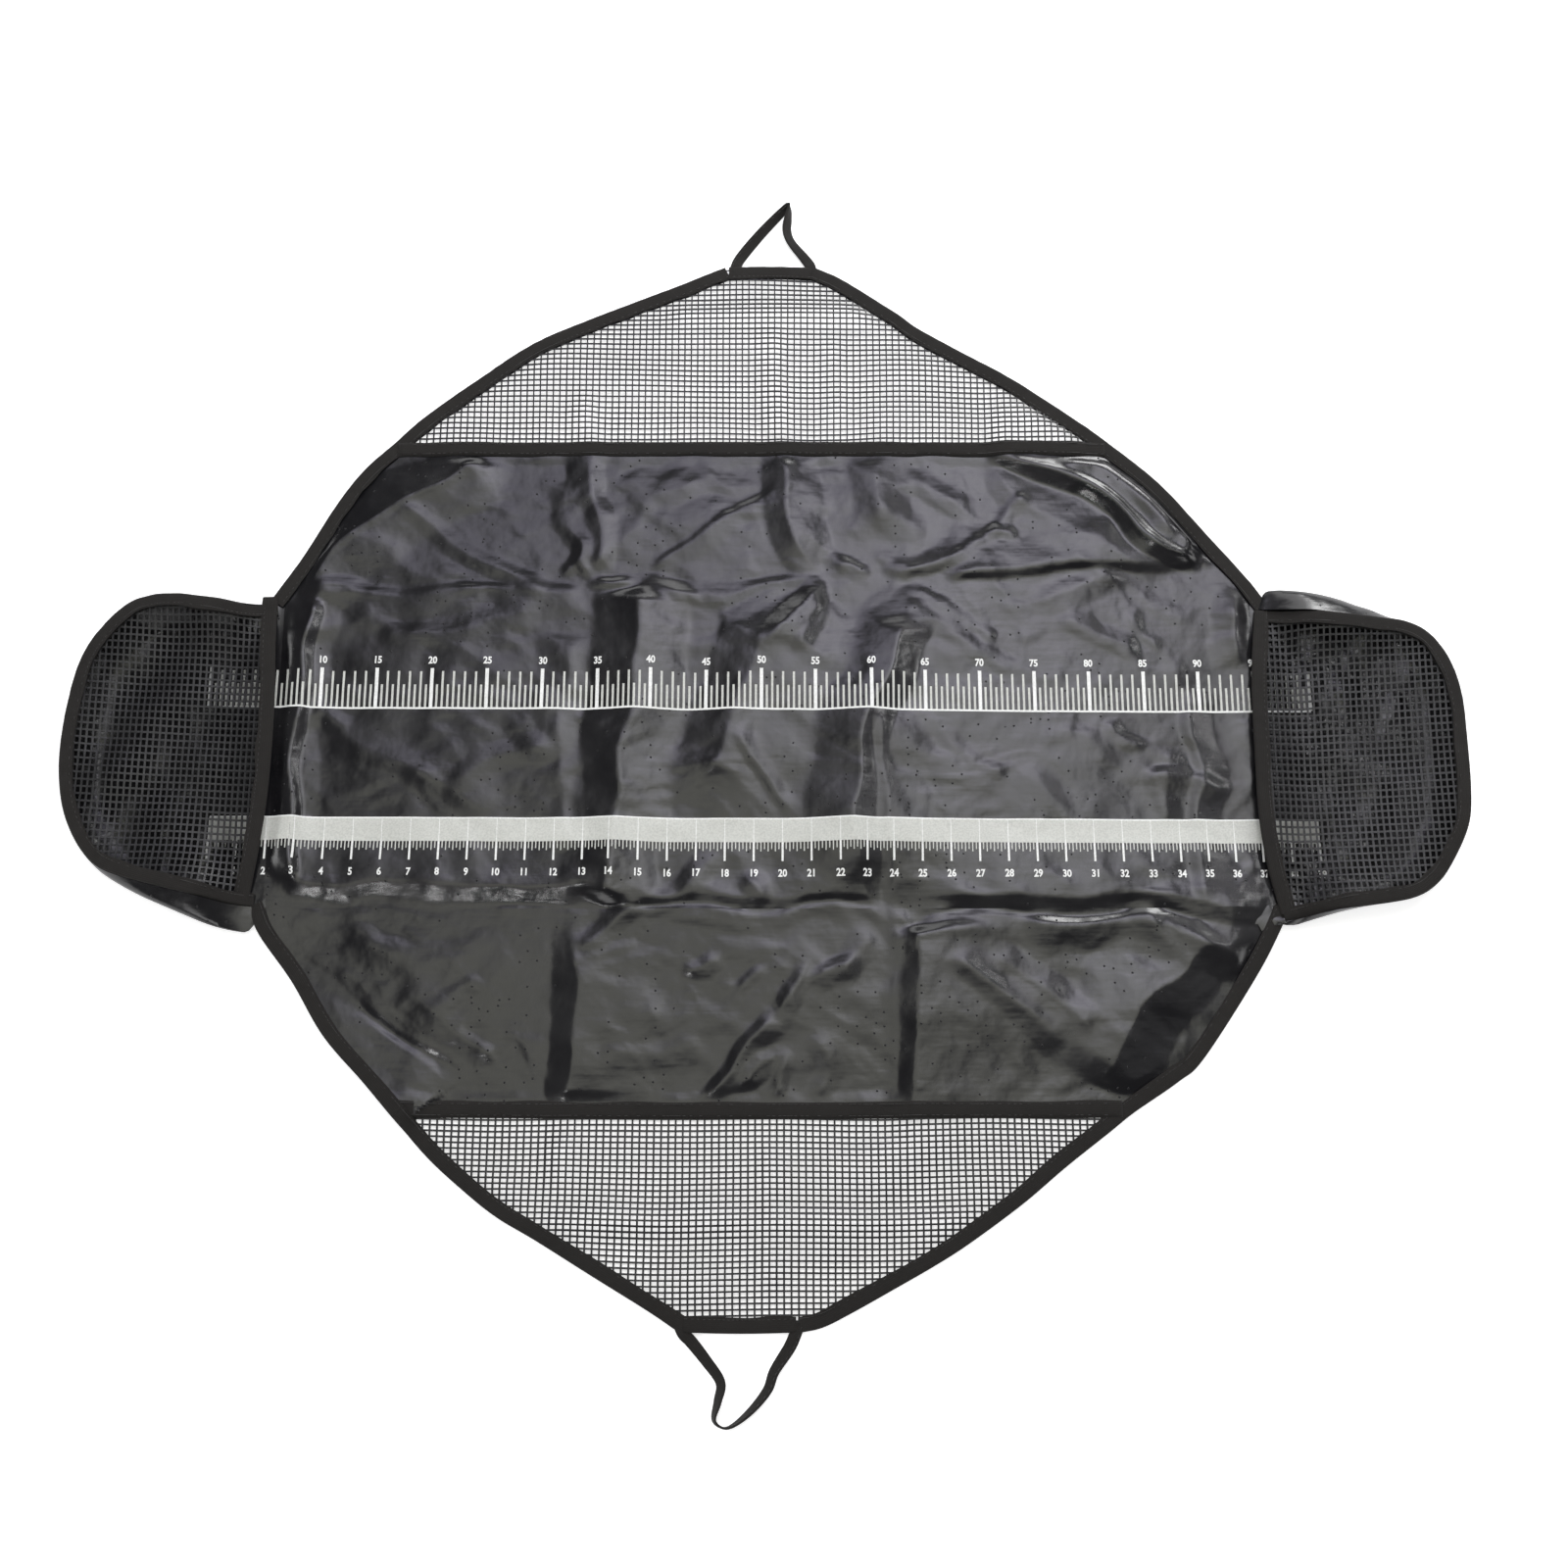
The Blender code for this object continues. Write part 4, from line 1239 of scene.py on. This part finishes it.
@dataclass(frozen=True)
class Mark:
    """A printed bar in plan: its lower left and upper right corners."""

    x0: float
    y0: float
    x1: float
    y1: float

    def cut(self, low: float, high: float) -> "Mark | None":
        """The part of the mark between two places along the sling."""
        x0, x1 = max(self.x0, low), min(self.x1, high)
        return Mark(x0, self.y0, x1, self.y1) if x1 - x0 > 0.0002 else None

    def mesh(self, step: float = 0.0013) -> BMesh:
        """The mark as a flat mesh."""
        xs = np.linspace(self.x0, self.x1, max(2, math.ceil((self.x1 - self.x0) / step) + 1))
        ys = np.linspace(self.y0, self.y1, max(2, math.ceil((self.y1 - self.y0) / step) + 1))
        x, y = np.meshgrid(xs, ys)
        return grid(np.stack([x, y, 0 * x], 2))


@dataclass(frozen=True)
class Rulers:
    """Two plain rulers printed on the sheet, one in centimetres and one in inches."""

    cm_at: Line = ((0, -0.5066), (25, -0.2553), (35, -0.1545), (40, -0.1060), (50, -0.0050),
                   (55, 0.0442), (60, 0.0951), (65, 0.1442), (90, 0.3930), (100, 0.4932))
    cm_count: int = 100
    cm_line: float = 0.0534
    cm_top: float = 0.0888
    half_top: float = 0.0760
    cm_digits: float = 0.0994
    inch_at: Line = ((0, -0.4975), (13, -0.1638), (14, -0.1403), (22, 0.0658), (24, 0.1132),
                     (34, 0.3683), (35, 0.3926), (37, 0.4413), (39, 0.4925))
    inch_count: int = 39
    band_top: float = -0.0500
    band_foot: float = -0.0712
    tick_foot: float = -0.0885
    short_foot: float = -0.0775
    inch_digits: float = -0.0998
    digit: float = 0.0094
    tilt: float = 0.0042
    ink: float = 0.00022

    @staticmethod
    def place(mark: float, table: Line) -> float:
        """The x at which a mark lies, where folds have taken up some of the cloth."""
        marks, places = zip(*table)
        return float(np.interp(mark, marks, places))

    def cm_marks(self) -> tuple[list[Mark], list[Mark]]:
        """The centimetre ruler's white bars, and its finer grey ones."""
        start, end = self.cm_at[0][1], self.cm_at[-1][1]
        bright = [Mark(start, self.cm_line - 0.0009, end, self.cm_line + 0.0009)]
        faint = []
        for k in range(2 * self.cm_count + 1):
            x = self.place(k / 2, self.cm_at)
            half = 0.0016 if k % 10 == 0 else 0.0010
            top = self.half_top if k % 2 else self.cm_top + (0.003 if k % 10 == 0 else 0.0)
            bar = Mark(x - half, self.cm_line + 0.0007, x + half, top)
            (bright if k % 10 == 0 else faint).append(bar)
        return bright, faint

    def inch_marks(self) -> tuple[list[Mark], list[Mark]]:
        """The inch ruler's white bars, and its grey band with the short ticks."""
        start, end = self.inch_at[0][1], self.inch_at[-1][1]
        bright = [Mark(start, self.band_top - 0.0004, end, self.band_top + 0.0010)]
        inches = [self.place(k, self.inch_at) for k in range(self.inch_count + 1)]
        faint = [Mark(a + 0.0003, self.band_foot, b - 0.0003, self.band_top - 0.0004)
                 for a, b in zip(inches, inches[1:])]
        for k in range(8 * self.inch_count + 1):
            x = self.place(k / 8, self.inch_at)
            if k % 8 == 0:
                bright.append(Mark(x - 0.0009, self.tick_foot, x + 0.0009, self.band_foot))
                bright.append(Mark(x - 0.0003, self.band_foot, x + 0.0003, self.band_top))
            else:
                foot = self.short_foot - (0.002 if k % 2 == 0 else 0.0)
                faint.append(Mark(x - 0.0005, foot, x + 0.0005, self.band_foot))
        return bright, faint

    def number(self, text: str, x: float, y: float) -> BMesh:
        """A plain number, flat and centred on a place in plan."""
        data = bpy.data.curves.new("number", "FONT")
        data.body, data.size, data.align_x, data.align_y = text, self.digit, "CENTER", "CENTER"
        data.offset, data.resolution_u = 0.00030, 3
        thing = linked("number", data)
        mesh = bpy.data.meshes.new_from_object(
            thing.evaluated_get(bpy.context.evaluated_depsgraph_get()))
        mesh.transform(Matrix.Translation((x, y, 0)) @ Matrix.Diagonal((0.84, 1.0, 1.0, 1.0)))
        bm = bmesh.new()
        bm.verts.layers.float_vector.new("weave")
        bm.from_mesh(mesh)
        bpy.data.objects.remove(thing)
        bpy.data.curves.remove(data)
        bpy.data.meshes.remove(mesh)
        bmesh.ops.triangulate(bm, faces=bm.faces)
        long = [e for e in bm.edges if e.calc_length() > 0.003]
        bmesh.ops.subdivide_edges(bm, edges=long, cuts=1)
        bm.normal_update()
        if sum(f.normal.z for f in bm.faces) < 0:
            bmesh.ops.reverse_faces(bm, faces=bm.faces)
        return bm

    def numbers(self) -> list[tuple[str, float, float]]:
        """Every number with its place."""
        out = [(str(k), self.place(k, self.cm_at), self.cm_digits)
               for k in range(5, self.cm_count, 5)]
        out += [(str(k), self.place(k, self.inch_at), self.inch_digits)
                for k in range(1, self.inch_count + 1)]
        return out

    def lay(self, bm: BMesh, ground: BVHTree) -> BMesh:
        """Lays flat print on the sheet below it, just inside the sheet's cut edges."""
        middle = sum((vert.co for vert in bm.verts), Vector()) / len(bm.verts)
        for vert in list(bm.verts):
            aim = vert.co.lerp(middle, PRINT_INSET)
            down = self.tilt * (vert.co.x / 0.88 + 0.5) * (1.0 if vert.co.y > 0 else 0.7)
            hit, normal, _, _ = ground.ray_cast(Vector((aim.x, vert.co.y - down, 0.2)),
                                                Vector((0, 0, -1)))
            if hit is None:
                bm.verts.remove(vert)
            else:
                vert.co = hit + normal * self.ink
        return bm

    def build(self, dress: Dress, grounds: dict[str, BMesh],
              pockets: dict[Hand, Pocket]) -> None:
        """Prints both rulers on the middle sheet and on the floors of the pockets.

        Args:
            dress: the shared materials.
            grounds: the meshes that carry the print, by where they lie.
            pockets: the two pockets, whose floors the print runs on to.
        """
        edge = CLOTH.mouth_x
        rooms = {"centre": (-edge, edge), "left": (-1.0, -edge), "right": (edge, 1.0)}
        bright, faint = (cm + inch for cm, inch in zip(self.cm_marks(), self.inch_marks()))
        for room, (low, high) in rooms.items():
            tree = BVHTree.FromBMesh(grounds[room])
            for name, rows, material in (("bright", bright, dress.ink),
                                         ("soft", faint, dress.band)):
                bars = [m.cut(low, high) for m in rows]
                parts = [m.mesh() for m in bars if m]
                if name == "bright":
                    parts += [self.number(*n) for n in self.numbers() if low < n[1] < high]
                bm = shell(self.lay(joined(parts), tree), 0.00005)
                thing = piece(f"{room}_ruler_{name}_print", bm, Slot.PVC, material)
                if room == "centre":
                    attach(thing, "centre")
                else:
                    pockets[Hand.LEFT if room == "left" else Hand.RIGHT].bend(thing)
            grounds[room].free()


# Finishes


class Nodes:
    """A short way to build a node tree."""

    def __init__(self, tree: NodeTree) -> None:
        """Starts on a tree."""
        self.tree = tree

    def add(self, kind: str, **settings: object) -> Node:
        """Adds a node with its settings."""
        node = self.tree.nodes.new(kind if kind.startswith("Node") else f"ShaderNode{kind}")
        self.set(node, **settings)
        return node

    @staticmethod
    def set(node: Node, **settings: object) -> None:
        """Sets a node's properties, or its inputs where the name is an input's."""
        for name, value in settings.items():
            if hasattr(node, name):
                setattr(node, name, value)
            else:
                node.inputs[name.replace("_", " ")].default_value = value

    def link(self, source: NodeSocket, target: NodeSocket) -> None:
        """Joins an output to an input."""
        self.tree.links.new(source, target)

    def math(self, operation: str, *values: NodeSocket | float) -> NodeSocket:
        """A math node's result."""
        node = self.add("Math", operation=operation)
        for socket, value in zip(node.inputs, values):
            if isinstance(value, (int, float)):
                socket.default_value = value
            else:
                self.link(value, socket)
        return node.outputs[0]

    def weigh(self, *terms: tuple[NodeSocket, float]) -> NodeSocket:
        """The sum of values, each times its weight."""
        total = self.math("MULTIPLY", *terms[0])
        for term in terms[1:]:
            total = self.math("ADD", total, self.math("MULTIPLY", *term))
        return total

    def effect(self, tree: NodeTree, place: NodeSocket,
               **settings: float) -> bpy.types.bpy_prop_collection:
        """Places a shared effect on the cloth and returns its outputs."""
        node = self.add("Group", node_tree=tree, **settings)
        self.link(place, node.inputs["Place"])
        return node.outputs

    def noise(self, place: NodeSocket, scale: float, detail: float = 3.0,
              rough: float = 0.5) -> NodeSocket:
        """A noise value at a place."""
        node = self.add("TexNoise", Scale=scale, Detail=detail, Roughness=rough)
        self.link(place, node.inputs["Vector"])
        return node.outputs["Fac"]

    def ramp(self, value: NodeSocket, low: float, high: float, start: float = 0.0,
             end: float = 1.0) -> NodeSocket:
        """A value carried from the range low to high to the range start to end, and held."""
        node = self.add("MapRange", From_Min=low, From_Max=high, To_Min=start, To_Max=end)
        self.link(value, node.inputs["Value"])
        return node.outputs[0]

    def mix(self, share: NodeSocket, first: tuple[float, ...],
            second: tuple[float, ...]) -> NodeSocket:
        """A colour between two by a share."""
        node = self.add("Mix", data_type="RGBA")
        self.link(share, node.inputs[0])
        node.inputs[6].default_value = (*first, 1.0)
        node.inputs[7].default_value = (*second, 1.0)
        return node.outputs[2]

    def bump(self, height: NodeSocket, depth: float,
             under: NodeSocket | None = None) -> NodeSocket:
        """A normal from a height, with an optional normal under it."""
        node = self.add("Bump", Distance=depth, Strength=1.0)
        self.link(height, node.inputs["Height"])
        if under is not None:
            self.link(under, node.inputs["Normal"])
        return node.outputs["Normal"]


class Effects:
    """The effects that several finishes share, each a node group that is built once."""

    @staticmethod
    def group(name: str, inputs: dict[str, float | None],
              outputs: tuple[str, ...]) -> tuple[Nodes, Node, Node]:
        """A new group.

        Args:
            name: its name.
            inputs: its inputs with their values, or None for a vector.
            outputs: its outputs.

        Returns:
            Its tree's builder, and the nodes where it starts and ends.
        """
        tree = bpy.data.node_groups.new(name, "ShaderNodeTree")
        for label, value in inputs.items():
            kind = "NodeSocketVector" if value is None else "NodeSocketFloat"
            socket = tree.interface.new_socket(label, in_out="INPUT", socket_type=kind)
            if value is not None:
                socket.default_value = value
        for label in outputs:
            tree.interface.new_socket(label, in_out="OUTPUT", socket_type="NodeSocketFloat")
        n = Nodes(tree)
        return n, n.add("NodeGroupInput"), n.add("NodeGroupOutput")

    @staticmethod
    @cache
    def ribs() -> NodeTree:
        """Woven ribs: a height and a thread mask from a place on the cloth in metres."""
        n, start, end = Effects.group("ribs", {"Place": None, "Along": 0.0009, "Across": 0.0016},
                                      ("Height", "Fleck"))
        split = n.add("SeparateXYZ")
        n.link(start.outputs["Place"], split.inputs[0])
        rib, cord = (n.math("SINE", n.math("MULTIPLY", n.math(
            "DIVIDE", split.outputs[k], start.outputs[step]), 2 * math.pi))
            for k, step in enumerate(("Along", "Across")))
        height = n.weigh((rib, 0.7), (n.math("MULTIPLY", rib, cord), 0.5))
        n.link(n.math("MULTIPLY_ADD", height, 0.5, 0.5), end.inputs["Height"])
        n.link(n.noise(start.outputs["Place"], 1400.0, 2.0), end.inputs["Fleck"])
        return n.tree

    @staticmethod
    @cache
    def dust() -> NodeTree:
        """Dust and lint: a soft mask and small specks from a place in metres."""
        n, start, end = Effects.group("dust", {"Place": None, "Speck scale": 125.0},
                                      ("Haze", "Speck"))
        place = start.outputs["Place"]
        n.link(n.ramp(n.noise(place, 14.0, 6.0, 0.6), 0.42, 0.70), end.inputs["Haze"])
        cells = n.add("TexVoronoi", feature="F1", voronoi_dimensions="2D")
        n.link(place, cells.inputs["Vector"])
        n.link(start.outputs["Speck scale"], cells.inputs["Scale"])
        dot = n.ramp(cells.outputs["Distance"], 0.12, 0.07)
        rare = n.add("SeparateColor")
        n.link(cells.outputs["Color"], rare.inputs[0])
        where = n.ramp(n.noise(place, 11.0, 2.0), 0.40, 0.74, 0.994, 0.68)
        few = n.math("GREATER_THAN", rare.outputs[0], where)
        n.link(n.math("MULTIPLY", dot, few), end.inputs["Speck"])
        return n.tree


def new_material(name: str, **settings: object) -> tuple[Material, Nodes, Node]:
    """A material with its tree's builder and its Principled shader, which is set."""
    material = bpy.data.materials.new(name)
    material.use_nodes = True
    n, shader = Nodes(material.node_tree), material.node_tree.nodes["Principled BSDF"]
    n.set(shader, **settings)
    return material, n, shader


@dataclass(frozen=True)
class GlossyPvc:
    """Coated sheet: black, with a gloss that varies and a faint grain of the cloth under it."""

    colour: tuple[float, float, float] = (0.0068, 0.0066, 0.0078)
    worn: tuple[float, float, float] = (0.0150, 0.0148, 0.0158)
    roughness: tuple[float, float] = (0.20, 0.27)
    wave_depth: float = 0.00060
    streak_depth: float = 0.00009
    rib_depth: float = 0.000003
    speck_depth: float = 0.0004

    def material(self) -> Material:
        """Builds the finish."""
        material, n, shader = new_material("pvc_sheet", IOR=1.52)
        place = n.add("Attribute", attribute_name="weave").outputs["Vector"]
        dust = n.effect(Effects.dust(), place)
        n.link(n.mix(dust["Haze"], self.colour, self.worn), shader.inputs["Base Color"])
        rough = n.ramp(dust["Haze"], 0.0, 1.0, *self.roughness)
        n.link(n.weigh((rough, 1.0), (dust["Speck"], 0.7)), shader.inputs["Roughness"])
        under = n.bump(n.noise(place, 55.0, 2.0, 0.45), self.wave_depth)
        for turn in (-0.6, 0.7):
            streak = n.add("Mapping", Rotation=(0.0, 0.0, turn), Scale=(0.10, 1.0, 1.0))
            n.link(place, streak.inputs["Vector"])
            under = n.bump(n.noise(streak.outputs[0], 200.0, 1.5, 0.5), self.streak_depth, under)
        ribs = n.effect(Effects.ribs(), place, Along=0.0011, Across=0.0013)
        under = n.bump(ribs["Height"], self.rib_depth, under)
        n.link(n.bump(dust["Speck"], self.speck_depth, under), shader.inputs["Normal"])
        return material


@dataclass(frozen=True)
class WovenTape:
    """Matte black binding tape with cross ribs."""

    colour: tuple[float, float, float] = (0.0036, 0.0030, 0.0026)
    light: tuple[float, float, float] = (0.0225, 0.0200, 0.0178)

    def material(self) -> Material:
        """Builds the finish."""
        material, n, shader = new_material("binding_tape", Sheen_Weight=0.05,
                                           Specular_IOR_Level=0.31)
        weave = n.add("Attribute", attribute_name="weave")
        ribs = n.effect(Effects.ribs(), weave.outputs["Vector"])
        dust = n.effect(Effects.dust(), n.add("TexCoord").outputs["Object"])
        share = n.weigh((ribs["Height"], 0.45), (ribs["Fleck"], 0.35), (dust["Haze"], 0.15))
        n.link(n.mix(share, self.colour, self.light), shader.inputs["Base Color"])
        n.link(n.ramp(ribs["Fleck"], 0.3, 0.7, 0.72, 0.92), shader.inputs["Roughness"])
        n.link(n.bump(ribs["Height"], 0.00025), shader.inputs["Normal"])
        return material


@dataclass(frozen=True)
class CoatedNet:
    """Vinyl-coated yarn: dark grey, half gloss, with slubs along the strands."""

    colour: tuple[float, float, float] = (0.0110, 0.0110, 0.0120)
    light: tuple[float, float, float] = (0.0240, 0.0240, 0.0255)

    def material(self) -> Material:
        """Builds the finish."""
        material, n, shader = new_material("coated_net", Specular_IOR_Level=0.36)
        place = n.add("TexCoord").outputs["Object"]
        slub, dust = n.noise(place, 320.0, 3.0), n.effect(Effects.dust(), place)
        n.link(n.mix(slub, self.colour, self.light), shader.inputs["Base Color"])
        n.link(n.ramp(dust["Haze"], 0.0, 1.0, 0.34, 0.52), shader.inputs["Roughness"])
        n.link(n.bump(slub, 0.0005), shader.inputs["Normal"])
        return material


@dataclass(frozen=True)
class Ink:
    """Printed ink, with pinholes and thin places where it has rubbed."""

    name: str
    colour: tuple[float, float, float]
    rubbed: tuple[float, float, float]

    def material(self) -> Material:
        """Builds the finish."""
        material, n, shader = new_material(self.name)
        place = n.add("TexCoord").outputs["Object"]
        dust = n.effect(Effects.dust(), place)
        grain = n.ramp(n.noise(place, 620.0, 3.0), 0.38, 0.66)
        share = n.weigh((grain, 0.55), (dust["Haze"], 0.25))
        n.link(n.mix(share, self.colour, self.rubbed), shader.inputs["Base Color"])
        n.link(n.ramp(grain, 0.0, 1.0, 0.42, 0.55), shader.inputs["Roughness"])
        return material


@dataclass(frozen=True)
class Thread:
    """Black sewing thread with a slight shine."""

    colour: tuple[float, float, float] = (0.0200, 0.0195, 0.0190)

    def material(self) -> Material:
        """Builds the finish."""
        material, n, shader = new_material("sewing_thread", Roughness=0.5)
        place = n.add("TexCoord").outputs["Object"]
        twist = n.noise(place, 2600.0, 2.0)
        n.link(n.mix(twist, self.colour, tuple(2.2 * c for c in self.colour)),
               shader.inputs["Base Color"])
        n.link(n.bump(twist, 0.0001), shader.inputs["Normal"])
        return material


# Studio


@dataclass(frozen=True)
class Lamp:
    """A soft rectangular light."""

    name: str
    place: tuple[float, float, float]
    aim: tuple[float, float, float]
    size: tuple[float, float]
    radiance: float
    tint: tuple[float, ...]

    @staticmethod
    def table(text: str) -> "tuple[Lamp, ...]":
        """Reads rows of name, place, size, radiance and tint, in metres.

        A tint of white is left out. A lamp shines straight down, or at the place in plan
        that stands after an arrow.
        """
        lamps = []
        for row in text.strip().splitlines():
            form, _, spot = row.partition(">")
            name, *words = form.split()
            x, y, z, width, deep, radiance, *tint = map(float, words)
            aim = (*(map(float, spot.split()) if spot else (x, y)), 0.0)
            lamps.append(Lamp(name, (x, y, z), aim, (width, deep), radiance,
                              tuple(tint or (1.0, 1.0, 1.0))))
        return tuple(lamps)

    def build(self) -> None:
        """Hangs the light."""
        data = bpy.data.lights.new(self.name, "AREA")
        data.color = self.tint
        data.shape, data.size, data.size_y = "RECTANGLE", *self.size
        data.energy = self.radiance * math.pi * self.size[0] * self.size[1]
        lamp = linked(self.name, data)
        lamp.location = self.place
        way = Vector(self.aim) - Vector(self.place)
        lamp.rotation_euler = way.to_track_quat("-Z", "Y").to_euler()


# Rows of name, place, size, radiance and tint > where it aims, in metres
LAMPS = """
base -0.1 0.765 2.36 2.04 2.77 0.36
front -0.015 0.05 2.35 1.87 0.9 0.98 1 1 0.84
middle 0.2 0.81 2.35 1.44 0.94 1.35 0.98 0.98 1
rear 0.08 1.5 2.34 1.68 1 1.5 0.9 0.86 1.1
rear_right 0.56 1.41 2.31 0.72 0.58 1 0.96 0.92 1.06
right 0.47 0.98 2.33 0.9 1.36 1.4 0.97 0.97 1.02
far_right 1.9 0.775 2.34 1.2 2.65 0.28
strip_a -0.89 0.65 2.32 0.18 0.7 0.4
strip_b -0.66 0.7 2.32 0.08 1 0.45
strip_c -0.165 1 2.32 0.17 1 1 0.95 0.92 1.05
strip_d 0.49 0.8 2.32 0.14 1.4 1.5
strip_e 1.5 0.95 2.32 0.3 1.7 0.7 0.95 0.92 1.05
strip_f 0.05 1.5 2.31 1.7 0.12 1.6 0.92 0.88 1.1
strip_g 0.025 0.075 2.31 1.75 0.09 1 1 1 0.86
left_side -3 0.1 1.25 2.2 0.9 4.3 > 0 0
right_side 3 -0.1 1.25 2.2 0.9 2.9 > 0 0
front_side -0.45 -3.1 1.45 3.9 1.3 2.6 > 0 0
back_side 0.6 3.1 1.45 3.8 1.3 2.4 > 0 0
spark -0.8 -0.78 2.3 0.26 0.1 46
ridge 1.55 2.1 2.3 0.6 0.7 2.2
ridge_line 1.3 3.08 1.45 1.15 1.1 11.5 > 0.27 0.25
sparkle 1.7 1.12 2.3 0.3 0.28 14
glint_1 1.36 1.04 2.3 0.07 0.07 40
glint_3 1.44 0.8 2.3 0.06 0.06 40
glint_4 1.27 1.2 2.3 0.05 0.05 40
"""


@dataclass(frozen=True)
class Studio:
    """The white floor, the lamps and the camera."""

    lamps: tuple[Lamp, ...] = Lamp.table(LAMPS)
    world: float = 0.09
    place: tuple[float, float, float] = (0.0155, -0.5114, 1.7207)
    tilt: float = 16.0
    lens: float = 45.675
    floor: float = 12.0

    def build(self) -> None:
        """Sets the floor, the lights, the world and the camera."""
        for lamp in self.lamps:
            lamp.build()
        self.build_floor()
        scene = bpy.context.scene
        world = bpy.data.worlds.new("studio")
        world.use_nodes = True
        back = world.node_tree.nodes["Background"]
        back.inputs["Color"].default_value = (1.0, 1.0, 1.0, 1.0)
        back.inputs["Strength"].default_value = self.world
        scene.world = world
        data = bpy.data.cameras.new("camera")
        data.lens = self.lens
        camera = linked("camera", data)
        camera.location = self.place
        camera.rotation_euler = Euler((math.radians(self.tilt), 0.0, 0.0))
        scene.camera = camera
        scene.view_settings.view_transform = "Standard"

    def build_floor(self) -> None:
        """Lays the white floor."""
        bm = bmesh.new()
        bmesh.ops.create_grid(bm, x_segments=1, y_segments=1, size=self.floor)
        floor = linked("floor", baked("floor", bm))
        material, n, shader = new_material(
            "floor", Base_Color=(0.82, 0.82, 0.82, 1.0), Roughness=0.9, Specular_IOR_Level=0.0,
            Emission_Color=(1.0, 1.0, 1.0, 1.0))
        path = n.add("LightPath")
        seen = n.math("MAXIMUM", path.outputs["Is Camera Ray"], n.math(
            "MAXIMUM", path.outputs["Is Glossy Ray"], path.outputs["Is Transmission Ray"]))
        n.link(n.math("MULTIPLY", seen, 0.62), shader.inputs["Emission Strength"])
        floor.data.materials.append(material)


# The sling

WINGS = (
    WingCut(Wing.REAR, CLOTH.rear_crease, CLOTH.rear_seam, 0.5020,
            left=metres("-456.5 155.5 -431 199 -407 246 -382 285 -352 316 -323 345 -273 385 "
                        "-222 422 -156 453 -90 481 -42 502"),
            right=metres("460 152 443 178 406 227 366 276 322 316 285 345 233 383 181 414 145 "
                         "436 121 455 72 489 46 502")),
    WingCut(Wing.FRONT, CLOTH.front_crease, CLOTH.front_seam, -0.4940,
            left=metres("-456.5 -133 -445 -158 -414 -199 -383 -247 -346 -287 -320 -316 -289 "
                        "-350 -257 -378 -228 -400 -193 -420 -145 -449 -98 -477 -72 -494"),
            right=metres("460 -137 431 -190 379 -265 355 -286 316 -312 294 -329 256 -358 218 "
                         "-389 173 -421 144 -439 108 -459 71 -479 48 -490 30 -494")),
)

LOOPS = (
    HookLoop(Wing.REAR, 0.5020, metres(
        "-33 494 0 -31 503 2 -26 514 14 -8.3 536.8 38 12 560 58 20.8 568.5 90 19.5 555.7 128 "
        "18.3 542.6 145 22.5 529.6 152 36 512.2 174 41 503 180 42 494 180", 3)),
    HookLoop(Wing.FRONT, -0.4940, metres(
        "28 -486 0 25 -495 2 20 -506 10 7.5 -525 34 1.4 -540.4 44 -14.5 -558.6 62 -31.2 -569.5 "
        "84 -42 -564 104 -39.1 -548.6 128 -37 -533.7 140 -48.8 -516.8 154 -62 -501 172 -68 -495 "
        "180 -72 -487 180", 3)),
)

POCKETS = (
    Pocket(Hand.LEFT,
           rim=metres("-450 152 -479 148 -511 151 -536 154 -560 152 -582 142 -606 115 -619 88 "
                      "-625 54 -628 9 -626 -23 -619 -52 -606 -78 -589 -98 -566 -109 -526 -120 "
                      "-478 -131 -452 -133"),
           mouth=metres("-450 158 -448 114 -444 47 -444 -20 -448 -71 -456 -130"),
           bulges=metres("0 0 300 0 660 2 730 10 820 22 920 32 1000 38")),
    Pocket(Hand.RIGHT,
           rim=metres("452 146 500 138 553 131 581 126 601 113 616 88 623 58 624 26 622 -31 616 "
                      "-66 597 -102 582 -119 566 -128 544 -133 501 -139 456 -147"),
           mouth=metres("447 145 439 76 437 6 437 -50 442 -95 452 -140"),
           bulges=metres("0 28 50 34 100 34 150 30 200 20 250 9 300 1 740 1 820 5 900 11 950 14 "
                         "1000 22"), crumple=2.4),
)


def main() -> None:
    """Builds the sling and its studio."""
    logging.basicConfig(level=logging.INFO, format="%(message)s")
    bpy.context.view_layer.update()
    dress = Dress(
        pvc=GlossyPvc().material(), tape=WovenTape().material(), net=CoatedNet().material(),
        ink=Ink("white_ink", (0.86, 0.87, 0.85), (0.62, 0.63, 0.61)).material(),
        band=Ink("grey_ink", (0.60, 0.61, 0.57), (0.42, 0.43, 0.40)).material(),
        thread=Thread().material())
    studio = Studio()
    studio.build()
    grounds = {"centre": CentreSheet().build(dress)}
    for wing in WINGS:
        wing.build(dress)
    for loop in LOOPS:
        loop.build(dress)
    for pocket in POCKETS:
        grounds[pocket.hand.word] = pocket.build(dress)
    Rulers().build(dress, grounds, {p.hand: p for p in POCKETS})


if __name__ == "__main__":
    main()
